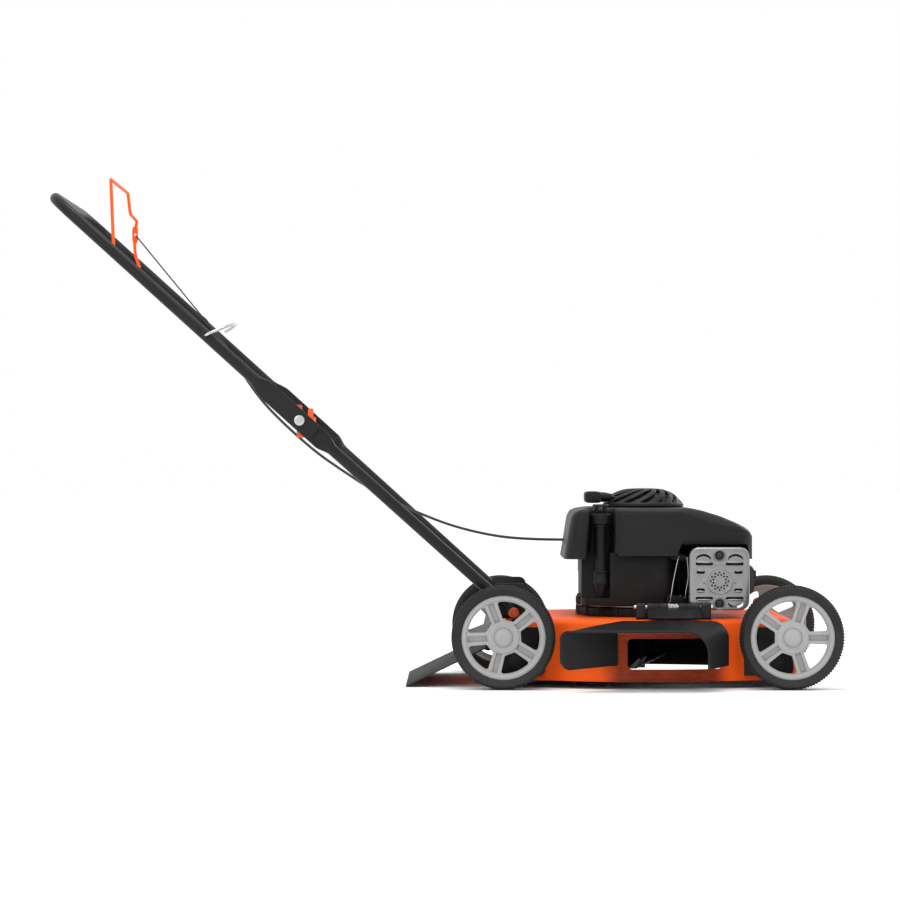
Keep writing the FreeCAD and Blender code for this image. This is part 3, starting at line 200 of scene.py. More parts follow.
def material(name, colour, second, rough, spread, metal, coat, mottle, grain, bump, specular,
             stretch=(1, 1, 1)):
    """Mottled colour, uneven gloss and a fine bump, all from noise in object space."""
    mat = bpy.data.materials.new(name)
    mat.use_nodes = True
    tree = mat.node_tree
    shader = tree.nodes["Principled BSDF"]
    shader.inputs["Metallic"].default_value = metal
    shader.inputs["Coat Weight"].default_value = coat
    shader.inputs["Coat Roughness"].default_value = 0.12
    shader.inputs["Specular IOR Level"].default_value = specular
    place = tree.nodes.new("ShaderNodeTexCoord")
    scale = tree.nodes.new("ShaderNodeMapping")
    scale.inputs["Scale"].default_value = stretch
    tree.links.new(place.outputs["Object"], scale.inputs["Vector"])
    vector = scale.outputs["Vector"]

    ramp = tree.nodes.new("ShaderNodeValToRGB")
    ramp.color_ramp.elements[0].position = 0.35
    ramp.color_ramp.elements[0].color = (*colour, 1)
    ramp.color_ramp.elements[1].position = 0.75
    ramp.color_ramp.elements[1].color = (*second, 1)
    tree.links.new(noise(tree, mottle, 5.0, vector), ramp.inputs["Fac"])
    tree.links.new(ramp.outputs["Color"], shader.inputs["Base Color"])

    gloss = mapped(tree, noise(tree, mottle * 4, 4.0, vector), 0, 1, rough - spread, rough + spread)
    tree.links.new(gloss, shader.inputs["Roughness"])

    lift = tree.nodes.new("ShaderNodeBump")
    lift.inputs["Strength"].default_value = bump
    lift.inputs["Distance"].default_value = 0.0006
    tree.links.new(noise(tree, grain, 3.0, vector), lift.inputs["Height"])
    tree.links.new(lift.outputs["Normal"], shader.inputs["Normal"])
    return mat


def edge_wear_and_highlight(mat, edge_colour, amount):
    """Lighter colour where the surface turns sharply, broken up by noise: real wear on the blade's edges,
    painted highlight on the black plastic's edges.
    """
    tree = mat.node_tree
    shape = tree.nodes.new("ShaderNodeNewGeometry")
    edge = mapped(tree, shape.outputs["Pointiness"], 0.53, 0.62, 0, amount)
    return overlay(mat, edge_colour, times(tree, edge, noise(tree, 260.0)))


def dusty(mat, dust, top):
    """Dry dust that thins out upwards from the ground."""
    tree = mat.node_tree
    fade = mapped(tree, object_axes(tree).outputs["Z"], 0, top, 0.5, 0)
    return overlay(mat, dust, times(tree, fade, noise(tree, 45.0, 8.0)))


def painted_shade_box(mat, box_low, box_high, shade_colour, soft):
    """Painted shade: a darker colour mixed in inside a soft-edged box in object space, unevenly by noise."""
    tree = mat.node_tree
    axes = object_axes(tree)
    amount = mapped(tree, noise(tree, 38.0, 6.0), 0.3, 0.7, 0.72, 0.92)
    for axis, low, high, blur in zip("XYZ", box_low, box_high, soft):
        above = mapped(tree, axes.outputs[axis], low - blur, low + blur, 0, 1, "SMOOTHSTEP")
        below = mapped(tree, axes.outputs[axis], high - blur, high + blur, 1, 0, "SMOOTHSTEP")
        amount = times(tree, amount, times(tree, above, below))
    return overlay(mat, shade_colour, amount)


# name: first and second colour, roughness and its spread, metal, coat, scale of the mottle and of the grain,
# bump, specular level, stretch where there is one
MATERIALS = {
    "orange_paint": ((0.82, 0.088, 0.007), (0.88, 0.108, 0.010), 0.5, 0.05, 0, 0, 5, 420, 0.05, 0.12),
    "black_paint": ((0.008, 0.008, 0.0085), (0.013, 0.013, 0.0135), 0.38, 0.06, 0, 0.03, 9, 800, 0.10, 0.20),
    "black_plastic": ((0.0075, 0.0075, 0.0078), (0.0115, 0.0115, 0.012), 0.46, 0.06, 0, 0, 8, 1500, 0.16,
                      0.20),
    "orange_plastic": ((0.80, 0.095, 0.009), (0.72, 0.080, 0.008), 0.38, 0.05, 0, 0.1, 30, 1200, 0.06, 0.3),
    "grey_plastic": ((0.31, 0.31, 0.309), (0.35, 0.35, 0.348), 0.42, 0.06, 0, 0, 12, 1400, 0.08, 0.5),
    "tyre_rubber": ((0.010, 0.010, 0.0105), (0.017, 0.017, 0.0175), 0.66, 0.10, 0, 0, 20, 1100, 0.20, 0.3),
    "flap_rubber": ((0.011, 0.011, 0.0115), (0.016, 0.016, 0.0165), 0.7, 0.1, 0, 0, 18, 900, 0.22, 0.22),
    "cable_jacket": ((0.010, 0.010, 0.011), (0.016, 0.016, 0.017), 0.34, 0.05, 0, 0, 40, 900, 0.05, 0.35),
    "bright_steel": ((0.50, 0.50, 0.49), (0.58, 0.58, 0.57), 0.26, 0.08, 1, 0, 60, 700, 0.06, 0.5,
                     (1, 0.15, 1)),
    "blade_steel": ((0.022, 0.022, 0.022), (0.040, 0.039, 0.038), 0.45, 0.12, 0.6, 0, 30, 500, 0.12, 0.5),
    "guard_steel": ((0.25, 0.25, 0.249), (0.31, 0.31, 0.308), 0.34, 0.07, 0.9, 0, 10, 1200, 0.06, 0.5),
    "cast_alloy": ((0.006, 0.0058, 0.0055), (0.012, 0.0112, 0.0105), 0.5, 0.10, 0, 0, 22, 420, 0.35, 0.16),
    "muffler_steel": ((0.040, 0.032, 0.027), (0.10, 0.075, 0.06), 0.5, 0.1, 0.7, 0, 16, 380, 0.2, 0.5),
}


def make_materials():
    made = {name: material(name, *values) for name, values in MATERIALS.items()}
    # Painted highlight along every edge of the black plastic; real wear on the blade's edges.
    edge_wear_and_highlight(made["black_plastic"], (0.06, 0.06, 0.06), 0.6)
    edge_wear_and_highlight(made["blade_steel"], (0.14, 0.136, 0.132), 0.8)
    dusty(made["tyre_rubber"], (0.06, 0.057, 0.052), 0.10)
    dusty(made["flap_rubber"], (0.06, 0.058, 0.052), 0.06)
    return made


# ---------------------------------------------------------------- mesh helpers


def body_of(node):
    return nodes[node]["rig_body"]


def slot_of(node):
    for part in frame["record"]["subparts"]:
        if part["node"] == node:
            return part["material_slot"]


def joint_place(name):
    joint = [j for j in frame["joints"] if j["name"] == name][0]
    return Vector(joint["pos_m"])


def middle(node):
    low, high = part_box(node)
    return (low + high) / 2


def size(node):
    low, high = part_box(node)
    return high - low


def foot_of(node):
    """Middle of the underside of a node's box."""
    place = middle(node)
    place.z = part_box(node)[0].z
    return place


def between(a, b, share):
    return a + (b - a) * share


def spin(steps):
    """Cosine and sine at equal steps round a circle."""
    angles = [2 * math.pi * i / steps for i in range(steps)]
    return [(math.cos(angle), math.sin(angle)) for angle in angles]


def new_object(name, mesh):
    obj = bpy.data.objects.new(name, mesh)
    bpy.context.scene.collection.objects.link(obj)
    return obj


def weld(mesh):
    """Merges points that coincide and turns the faces outwards."""
    made = bmesh.new()
    made.from_mesh(mesh)
    bmesh.ops.remove_doubles(made, verts=made.verts, dist=1e-6)
    bmesh.ops.recalc_face_normals(made, faces=made.faces)
    made.to_mesh(mesh)
    made.free()
    return mesh


def mesh_object(name, points, faces):
    mesh = bpy.data.meshes.new(name)
    mesh.from_pydata([tuple(p) for p in points], [], faces)
    mesh.validate()
    return new_object(name, weld(mesh))


def quads(rows, count, ring=True):
    """Faces between rows of count points each; the rows of a ring close on themselves."""
    faces = []
    for i in range(rows - 1):
        for j in range(count if ring else count - 1):
            k = (j + 1) % count
            faces.append((i * count + j, i * count + k, (i + 1) * count + k, (i + 1) * count + j))
    return faces


def loft(name, loops, caps=True, closed=False):
    """Faces between loops of equal length; each loop is closed on itself."""
    count = len(loops[0])
    points = [p for loop in loops for p in loop]
    total = len(points)
    faces = quads(len(loops) + 1 if closed else len(loops), count)
    faces = [tuple(corner % total for corner in face) for face in faces]
    if caps and not closed:
        faces.append(tuple(range(count)))
        faces.append(tuple(range(total - count, total)))
    return mesh_object(name, points, faces)


def turning(axis):
    """Two directions across an axis."""
    across = X if abs(axis.dot(X)) < 0.9 else Z
    u = axis.cross(across).normalized()
    return u, axis.cross(u)


def lathe(name, profile, centre, axis, steps=96, closed=True, degrees=40):
    """Profile points are (distance along the axis, radius) in millimetres."""
    u, v = turning(axis)
    loops = []
    for along, radius in profile:
        hub = centre + axis * along * MM
        loops.append([hub + (u * c + v * s) * radius * MM for c, s in spin(steps)])
    return smooth(loft(name, loops, caps=not closed, closed=closed), degrees)


def rounded(corners, steps=5):
    """Outline with rounded corners from (x, y, radius), in millimetres."""
    points = []
    count = len(corners)
    for i, (x, y, radius) in enumerate(corners):
        here = Vector((x, y))
        if radius == 0:
            points.append(here)
            continue
        before = Vector(corners[i - 1][:2])
        after = Vector(corners[(i + 1) % count][:2])
        back = (before - here).normalized()
        on = (after - here).normalized()
        half = back.angle(on) / 2
        reach = radius / math.tan(half)
        first = here + back * reach
        last = here + on * reach
        hub = here + (back + on).normalized() * radius / math.sin(half)
        for k in range(steps + 1):
            ray = (first - hub).lerp(last - hub, k / steps).normalized()
            points.append(hub + ray * radius)
    return points


def box_outline(x0, x1, y0, y1, radius):
    return rounded([(x0, y0, radius), (x1, y0, radius), (x1, y1, radius), (x0, y1, radius)])


def circle(x, y, radius, steps=24):
    return [Vector((x + radius * c, y + radius * s)) for c, s in spin(steps)]


def plate(name, outlines, z0, z1, edge, place):
    """Flat plate with holes and rounded edges, from z0 to z1 in its own frame, put where place says."""
    curve = bpy.data.curves.new(name, "CURVE")
    curve.dimensions = "2D"
    curve.fill_mode = "BOTH"
    curve.extrude = (z1 - z0) * MM / 2 - edge * MM
    curve.bevel_depth = edge * MM
    curve.bevel_resolution = 2
    curve.offset = -edge * MM
    for outline in outlines:
        spline = curve.splines.new("POLY")
        spline.points.add(len(outline) - 1)
        for point, co in zip(spline.points, outline):
            point.co = (co.x * MM, co.y * MM, 0, 1)
        spline.use_cyclic_u = True
    source = new_object(name + "_outline", curve)
    mesh = bpy.data.meshes.new_from_object(source)
    bpy.data.objects.remove(source)
    mesh.transform(place @ Matrix.Translation((0, 0, (z0 + z1) * MM / 2)))
    return smooth(new_object(name, weld(mesh)), 50)


def facing(origin, right, up):
    """Frame whose XY plane is spanned by right and up."""
    out = right.cross(up)
    turned = Matrix((right, up, out)).transposed().to_4x4()
    return Matrix.Translation(origin) @ turned


def join(name, pieces):
    """One mesh object from several, keeping each one's material."""
    used = []
    made = bmesh.new()
    for piece in pieces:
        mesh = piece.data
        mine = mesh.materials[0] if mesh.materials else None
        if mine and mine not in used:
            used.append(mine)
        start = len(made.faces)
        made.from_mesh(mesh)
        made.faces.ensure_lookup_table()
        for face in made.faces[start:]:
            face.material_index = used.index(mine) if mine else 0
        bpy.data.objects.remove(piece)
    whole = bpy.data.meshes.new(name)
    made.to_mesh(whole)
    made.free()
    for mat in used:
        whole.materials.append(mat)
    return new_object(name, whole)


def flat_copy(obj):
    """Puts the object's modifiers into its mesh."""
    graph = bpy.context.evaluated_depsgraph_get()
    graph.update()
    mesh = bpy.data.meshes.new_from_object(obj.evaluated_get(graph), depsgraph=graph)
    old = obj.data
    obj.modifiers.clear()
    obj.data = mesh
    bpy.data.meshes.remove(old)
    return obj


def thicken(obj, wall):
    """Gives an open skin its wall thickness, inwards."""
    made = bmesh.new()
    made.from_mesh(obj.data)
    centre = sum((v.co for v in made.verts), Vector()) / len(made.verts)
    outward = sum(f.normal.dot(f.calc_center_median() - centre) * f.calc_area() for f in made.faces)
    if outward < 0:
        bmesh.ops.reverse_faces(made, faces=made.faces)
    made.to_mesh(obj.data)
    made.free()
    mod = obj.modifiers.new("wall", "SOLIDIFY")
    mod.thickness = wall * MM
    mod.offset = -1
    return flat_copy(obj)


def smooth(obj, degrees=32):
    obj.data.shade_smooth()
    obj.data.set_sharp_from_angle(angle=math.radians(degrees))
    return obj


def bevel(obj, width, degrees=32, segments=2):
    mod = obj.modifiers.new("edge", "BEVEL")
    mod.width = width * MM
    mod.segments = segments
    mod.limit_method = "ANGLE"
    mod.angle_limit = math.radians(degrees)
    mod.use_clamp_overlap = True
    mod.miter_outer = "MITER_ARC"
    flat_copy(obj)
    return smooth(obj, 50)


def paint(obj, slot):
    obj.data.materials.append(mats[slot])
    return obj


def finish(obj, node, *others, body=None, slot=None):
    """Gives a piece its material, its body and the CAD nodes that it stands for."""
    name = slot or slot_of(node)
    if not obj.data.materials:
        obj.data.materials.append(mats[name])
    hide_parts(node, *others)
    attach(obj, body or body_of(node))
    return obj


def detail(obj, body, slot):
    """An added piece that stands for no CAD node."""
    if not obj.data.materials:
        obj.data.materials.append(mats[slot])
    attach(obj, body)
    return obj


def soften(node, width=0.8, segments=2, degrees=32, slot=None):
    """A copy of a CAD piece whose sharp edges are rounded."""
    mesh = nodes[node].data.copy()
    mesh.materials.clear()
    if "custom_normal" in mesh.attributes:
        mesh.attributes.remove(mesh.attributes["custom_normal"])
    made = bmesh.new()
    made.from_mesh(mesh)
    bmesh.ops.remove_doubles(made, verts=made.verts, dist=2e-6)
    bmesh.ops.dissolve_limit(made, angle_limit=math.radians(0.8), verts=made.verts, edges=made.edges)
    made.to_mesh(mesh)
    made.free()
    obj = new_object(node + "_softened", mesh)
    bevel(obj, width, degrees, segments)
    return finish(obj, node, slot=slot)


def tube(name, points, radius, resolution=12):
    """Round wire along a smooth NURBS line, as a mesh."""
    curve = bpy.data.curves.new(name, "CURVE")
    curve.dimensions = "3D"
    curve.bevel_depth = radius * MM
    curve.bevel_resolution = 4
    curve.use_fill_caps = True
    spline = curve.splines.new("NURBS")
    spline.points.add(len(points) - 1)
    for point, co in zip(spline.points, points):
        point.co = (co[0], co[1], co[2], 1)
    spline.order_u = 3
    spline.use_endpoint_u = True
    spline.resolution_u = resolution
    source = new_object(name + "_line", curve)
    mesh = bpy.data.meshes.new_from_object(source)
    bpy.data.objects.remove(source)
    return smooth(new_object(name, mesh), 60)


# ---------------------------------------------------------------- wheels


def tyre(end, side_name):
    """Tread ring with shoulder lugs, two grooves and a plain side wall."""
    node = f"{end}_{side_name}_tyre"
    low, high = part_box(node)
    centre = (low + high) / 2
    side = 1 if centre.y > 0 else -1
    outer = (high.z - low.z) / 2 / MM
    half = (high.y - low.y) / 2 / MM
    seat = 0.812 * outer
    # distance from the middle plane, radius on a lug, radius in a gap
    section = [
        (half - 3.5, seat, seat),
        (half - 1.2, seat + 0.8, seat + 0.8),
        (half, seat + 3.5, seat + 3.5),
        (half, outer - 8.5, outer - 8.5),
        (half - 0.2, outer - 6.5, outer - 7.0),
        (half - 2.0, outer - 3.6, outer - 5.4),
        (half - 5.0, outer - 1.2, outer - 4.0),
        (half - 8.5, outer - 0.3, outer - 3.4),
        (half - 13.5, outer - 0.1, outer - 3.2),
        (half - 14.2, outer - 3.2, outer - 3.2),
        (half - 17.2, outer - 3.2, outer - 3.2),
        (half - 17.9, outer, outer - 0.8),
        (half - 24.8, outer, outer - 0.8),
    ]
    whole = [(w, a, b, 0) for w, a, b in section] + [(-w, a, b, 1) for w, a, b in reversed(section)]
    lugs = 104
    per_lug = (0, 0.36, 0.5, 0.86)
    loops = []
    for w, on, off, shift in whole:
        loop = []
        for i in range(lugs):
            for k, part in enumerate(per_lug):
                angle = 2 * math.pi * (i + part + 0.5 * shift) / lugs
                radius = on if k < 2 else off
                out = X * math.cos(angle) + Z * math.sin(angle)
                loop.append(centre + Y * side * w * MM + out * radius * MM)
        loops.append(loop)
    obj = loft(node + "_tread", loops, closed=True)
    smooth(obj, 34)
    return finish(obj, node)


def wheel_window(turn, spoke_half, inner, outer):
    """Opening between two spokes whose middle lines are at turn and turn + 72 degrees."""
    corners = []

    def at(radius, degrees, rounding):
        angle = math.radians(degrees)
        corners.append((radius * math.cos(angle), radius * math.sin(angle), rounding))

    near = math.degrees(math.asin(spoke_half / outer))
    far = math.degrees(math.asin((spoke_half - 1.5) / inner))
    at(inner, turn + far, 3.0)
    at(outer, turn + near, 4.5)
    for k in range(1, 10):
        share = k / 10
        at(outer, turn + near + (72 - 2 * near) * share, 0)
    at(outer, turn + 72 - near, 4.5)
    at(inner, turn + 72 - far, 3.0)
    return rounded(corners)


def spoke_pocket(turn, half, inner, outer):
    angle = math.radians(turn)
    out = Vector((math.cos(angle), math.sin(angle)))
    across = Vector((-out.y, out.x))
    corners = []
    for along, over in ((inner, -half), (outer, -half), (outer, half), (inner, half)):
        place = out * along + across * over
        corners.append((place.x, place.y, 1.6))
    return rounded(corners)


def rim(end, side_name, spoke_turn):
    """Deep rim, five spokes with a raised rib along each edge, and a hub with a domed cap."""
    node = f"{end}_{side_name}_rim"
    tyre_node = f"{end}_{side_name}_tyre"
    centre = middle(tyre_node)
    side = 1 if centre.y > 0 else -1
    out = Y * side
    face_at = centre + out * (size(tyre_node).y / 2 - 6 * MM)
    lip = 0.815 * size(tyre_node).z / 2 / MM
    # the window frame lies 13 mm inside the lip, and the hub is 0.39 of it
    open_r = lip - 13.2
    hub = 0.392 * lip
    rim_profile = [
        (-1.5, open_r + 2.6), (0.6, open_r + 4.2), (1.6, open_r + 6.8), (1.6, lip - 4.0), (0.9, lip - 1.4),
        (-0.9, lip), (-40, lip), (-40, lip - 3), (-18, lip - 4.5), (-15.5, open_r + 4.0),
        (-14.5, open_r + 0.8), (-9, open_r + 0.4), (-4.5, open_r + 1.2),
    ]
    hub_profile = [
        (-42, 7), (-42, hub - 9), (-17, hub - 6), (-15, hub), (-5.5, hub), (-3.4, hub - 0.5),
        (-2.0, hub - 1.9), (-1.2, hub - 4.4), (-1.8, hub - 9.5), (-2.6, 20.6), (-2.6, 19.2),
        (-3.2, 18.4), (-2.6, 17.7), (-0.4, 17.4), (1.0, 16.2), (2.6, 12.5), (3.6, 7.5), (3.9, 2.5),
        (3.9, 0.4), (-30, 0.4), (-30, 7),
    ]
    pieces = [
        lathe("rim", rim_profile, face_at, out, 120, degrees=36),
        lathe("hub", hub_profile, face_at, out, 72, degrees=36),
    ]
    right = X * -side
    place = facing(face_at, right, Z)
    windows = []
    pockets = []
    for i in range(5):
        turn = spoke_turn + 72 * i
        seen = 180 - turn if side > 0 else turn
        windows.append(wheel_window(seen, 13.2, hub + 3.2, open_r + 0.6))
        pockets.append(spoke_pocket(seen, 5.4, hub - 1.0, open_r + 0.4))
    edge = circle(0, 0, open_r + 5, 90)
    ribs = plate("ribs", [edge] + windows + pockets, -13, -3.2, 1.4, place)
    web = plate("web", [edge] + windows, -15.5, -9.6, 0.6, place)
    obj = join(node + "_spokes", pieces + [ribs, web])
    return finish(obj, node)


def lever_knobs():
    for end in ("front", "rear"):
        soften(end + "_lever_knob", 1.2, 3)
        soften(end + "_axle", 0.6, slot="black_paint")


# ---------------------------------------------------------------- handle


def sweep(name, stations):
    """Superellipse sections: (centre, side direction, up direction, half width, half height, squareness)."""
    steps = 28
    loops = []
    for centre, across, up, wide, tall, square in stations:
        loop = []
        power = 2 / square
        for c, s in spin(steps):
            x = math.copysign(abs(c) ** power, c) * wide * MM
            y = math.copysign(abs(s) ** power, s) * tall * MM
            loop.append(centre + across * x + up * y)
        loops.append(loop)
    return loft(name, loops)


def mixed(a, b, share):
    """Between a and b, with a slow start and end."""
    return between(a, b, share * share * (3 - 2 * share))


def swaged(centre, along, across, up, tube_r, ends, shift):
    """Sections of a flattened tube end; ends are where its tip, its flat's end and the full tube lie."""
    tip, flat_end, round_at = ends
    corner = 12.0
    made = []

    def section(reach, wide, tall, square, over):
        place = centre + along * reach * MM + across * over * MM
        made.append((place, across, up, wide, tall, square))

    for k in range(8):
        angle = math.pi / 2 * k / 7
        reach = tip + corner * (1 - math.cos(angle))
        tall = FLAT_HALF - corner + corner * math.sin(angle)
        section(reach, FLAT_THICK / 2, tall, 5.0, shift[0])
    for k in range(11):
        share = k / 10
        wide = mixed(FLAT_THICK / 2, tube_r, share)
        tall = mixed(FLAT_HALF, tube_r, share)
        square = mixed(5.0, 2.0, share)
        reach = between(flat_end, round_at, share)
        section(reach, wide, tall, square, mixed(shift[0], shift[1], share))
    return made


# half widths between the tubes, the left lower tube's end at the deck, and the tubes' flattened ends
UPPER_HALF = 252
LOWER_HALF = 246
LOWER_END = (125, 190, 155)
FLAT_HALF = 18.5
FLAT_THICK = 6.0
FLAT_GAP = 0.4


def handle_line():
    """The fold's pivot, the crossbar's middle, the upper tube's direction and the tube's radius."""
    mount = [m for m in frame["record"]["mounts"] if m["name"] == "handle_crossbar"][0]
    pivot = joint_place("handle_fold")
    bar = Vector(mount["pos_m"])
    return pivot, bar, (bar - pivot).normalized(), mount["dims"]["r_mm"]


def upper_handle():
    """U-shaped tube, swaged flat at both ends where it is bolted to the lower tubes."""
    pivot, bar, along, tube_r = handle_line()
    half = UPPER_HALF * MM
    bend = 62 * MM
    up = Y.cross(along)
    stations = []
    for side in (-1, 1):
        out = Y * side
        ends = (-40, 84, 124)
        leg = swaged(pivot + out * half, along, out, up, tube_r, ends, (FLAT_GAP + FLAT_THICK / 2, 0))
        hub = bar + out * (half - bend) - along * bend
        for k in range(15):
            angle = math.pi / 2 * k / 14
            ray = out * math.cos(angle) + along * math.sin(angle)
            leg.append((hub + ray * bend, ray, up, tube_r, tube_r, 2.0))
        stations += leg if side < 0 else leg[::-1]
    obj = smooth(sweep("upper_handle_tube", stations), 50)
    return finish(obj, "upper_handle")


def lower_handle(side_name):
    """Straight tube from the fold down to its deck bracket, swaged flat at the top and capped below."""
    pivot, _, along, tube_r = handle_line()
    side = 1 if side_name == "left" else -1
    out = Y * side
    flat_at = pivot + out * UPPER_HALF * MM
    top = pivot + out * LOWER_HALF * MM
    end = Vector((LOWER_END[0], side * LOWER_END[1], LOWER_END[2])) * MM
    down = (end - top).normalized()
    up = out.cross(along) * side
    into = -(FLAT_GAP + FLAT_THICK / 2)
    tube_top = top + down * 92 * MM
    leaning = (tube_top - flat_at).dot(out) / MM
    stations = swaged(flat_at, -along, out, up, tube_r, (-24, 56, 88), (into, leaning))
    cross = down.cross(up).normalized() * -1
    cross = cross if cross.dot(out) > 0 else -cross
    last = end + down * 16 * MM
    for share in (0.08, 0.5, 0.97):
        stations.append((tube_top.lerp(last, share), cross, up, tube_r, tube_r, 2.0))
    for reach, radius in ((0, tube_r), (0, tube_r + 0.9), (1.5, tube_r + 0.9), (3.0, tube_r - 1.5)):
        stations.append((last + down * (reach - 3) * MM, cross, up, radius, radius, 2.0))
    obj = smooth(sweep(f"lower_handle_{side_name}_tube", stations), 50)
    return finish(obj, f"lower_handle_{side_name}")


def handle_fittings():
    """Bolts, saddles, cam levers and brackets; the bolts at the deck are painted black."""
    bolts = soften("handle_bolts", 0.9, 3)
    paint(bolts, "black_paint")
    for face in bolts.data.polygons:
        face.material_index = 1 if face.center.z < 0.3 else 0
    soften("cam_saddles", 1.2, 3)
    for side in ("left", "right"):
        soften(f"cam_lever_{side}", 1.0, 3)
    soften("handle_brackets", 0.6)


# ---------------------------------------------------------------- engine covers


def along_table(table, x):
    """Straight-line interpolation in a short table of (x, value)."""
    if x <= table[0][0]:
        return table[0][1]
    for (xa, a), (xb, b) in zip(table, table[1:]):
        if x <= xb:
            return a + (b - a) * (x - xa) / (xb - xa)
    return table[-1][1]


# Blower housing: distances from its rear end, and heights from its top
ROOF = ((0, -14), (6, -8), (20, -4), (40, -1.5), (62, 0), (250, 0), (278, -4), (317, -16), (345, -28.5),
        (362, -37), (372, -44), (379, -54))
REAR_SLANT = 14
REAR_IN = 7
REAR_FADE = 90
FRONT_OUT = 3
LEFT_EDGE = -95
SHOULDER_DROP = ((0, 8), (40, 9), (232, 9), (262, 18), (290, 24), (318, 20), (344, 12), (379, 4))
SHOULDER_IN = ((0, 8), (30, 7), (120, 7), (150, 10), (232, 12), (277, 22), (333, 22), (379, 10))
LOWER_EDGE = ((0, -101), (51, -101), (58, -89), (224, -89), (227, -84), (232, -74), (238, -71), (366, -71),
              (370, -75), (373, -101), (379, -101))
NOTCH = (48, 106, 61)


def arc_points(cx, cy, radius, start, stop, steps, inward=False):
    made = []
    for k in range(steps + 1):
        angle = math.radians(start + (stop - start) * k / steps)
        c, s = math.cos(angle), math.sin(angle)
        normal = (-c, -s) if inward else (c, s)
        made.append((cx + radius * c, cy + radius * s, *normal))
    return made


def shroud_outline(length, half):
    """Plan as (x, y, outward x, outward y): right side with the oil tube's notch, front, left and rear."""
    rear_r, front_r, notch_r = 34, 42, 12
    n0, n1, deep = NOTCH
    right = arc_points(rear_r, -half + rear_r, rear_r, 180, 264, 7)
    right += arc_points(n0 - 9, -half + 9, 9, 270, 360, 5)
    right += arc_points(n0 + notch_r, -half + deep - notch_r, notch_r, 180, 90, 5, True)
    right += arc_points(n1 - notch_r, -half + deep - notch_r, notch_r, 90, 0, 5, True)
    right += arc_points(n1 + 9, -half + 9, 9, 180, 270, 5)
    for x in (130, 150, 170, 200, 223, 228, 232, 238, 250, 262, 280, 294, 315, 333):
        right.append((x, -half, 0, -1))
    right += arc_points(length - front_r, -half + front_r, front_r, 270, 360, 8)
    left = [(x, half, 0, 1) for x, y, nx, ny in right]
    for i, (x, y, nx, ny) in enumerate(right):
        if x < rear_r and y > -half + 0.01 and i < 8:
            left[i] = (x, -y, nx, -ny)
        if x > length - front_r:
            left[i] = (x, -y, nx, -ny)
    across = [k / 6 for k in range(1, 6)]
    front_half = half - front_r
    rear_half = half - rear_r
    front = [(length, -front_half + 2 * front_half * t, 1, 0) for t in across]
    rear = [(0, rear_half - 2 * rear_half * t, -1, 0) for t in across]
    return right, front, left[::-1], rear


def blower_shroud():
    """Moulded housing: flat roof falling away to the front, soft shoulders, stepped lower edge."""
    low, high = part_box("blower_shroud")
    length = (high.x - low.x) / MM
    half = (high.y - low.y) / 2 / MM
    middle_y = (high.y + low.y) / 2
    right, front, left, rear = shroud_outline(length, half)
    outline = right + front + left + rear

    def at(x, y, z):
        rear = (REAR_IN + REAR_SLANT * max(0, 101 + z) / 87) * max(0, 1 - x / REAR_FADE)
        front = FRONT_OUT * max(0, x - 300) / 79
        return Vector((low.x + (x + rear + front) * MM, middle_y + y * MM, high.z + z * MM))

    def edge(x, y):
        return min(along_table(LOWER_EDGE, x), LEFT_EDGE) if y > 0 else along_table(LOWER_EDGE, x)

    def shoulder(turn):
        loop = []
        for x, y, nx, ny in outline:
            inset = along_table(SHOULDER_IN, x) * (1 - math.cos(turn) ** 1.25)
            drop = along_table(SHOULDER_DROP, x) * (1 - math.sin(turn) ** 1.25)
            px = x - nx * inset
            loop.append(at(px, y - ny * inset, along_table(ROOF, px) - drop))
        return loop

    walls = []
    for share in (1, 0.985, 0.6, 0.3):
        loop = []
        for x, y, nx, ny in outline:
            top = along_table(ROOF, x) - along_table(SHOULDER_DROP, x)
            z = top + (edge(x, y) - top) * share
            loop.append(at(x, y, z))
        walls.append(loop)
    loops = walls + [shoulder(math.pi / 2 * k / 7) for k in range(8)]
    count = len(outline)
    points = [p for loop in loops for p in loop]
    faces = quads(len(loops), count)
    start = (len(loops) - 1) * count
    n = len(right)
    rows = []
    for i in range(n):
        a = points[start + i]
        b = points[start + n + 5 + n - 1 - i]
        if i == 0:
            row = [start + i] + [start + count - 1 - k for k in range(5)] + [start + n + 5 + n - 1]
        elif i == n - 1:
            row = [start + i] + [start + n + k for k in range(5)] + [start + n + 5]
        else:
            row = [start + i]
            for k in range(1, 6):
                points.append(a.lerp(b, k / 6))
                row.append(len(points) - 1)
            row.append(start + n + 5 + n - 1 - i)
        rows.append(row)
    for one, two in zip(rows, rows[1:]):
        for k in range(6):
            faces.append((one[k], one[k + 1], two[k + 1], two[k]))
    obj = mesh_object("blower_shroud_moulding", points, faces)
    made = bmesh.new()
    made.from_mesh(obj.data)
    bmesh.ops.dissolve_degenerate(made, edges=made.edges, dist=1e-6)
    made.to_mesh(obj.data)
    made.free()
    thicken(obj, 3)
    smooth(obj, 40)
    raised = [(113, -95, 2), (230, -95, 3), (240, -68, 3), (364, -68, 4), (366, -50, 6), (344, -47, 12),
              (318, -42, 14), (292, -36, 14), (252, -17, 14), (232, -9.5, 10), (119, -9.5, 6), (116, -14, 3)]
    wall = Vector((low.x, at(0, -half, 0).y, high.z))
    panel = plate("panel", [rounded(raised)], 0, 2.8, 1.2, facing(wall, X, Z))
    return finish(join("blower_shroud_cover", [obj, smooth(panel, 50)]), "blower_shroud")


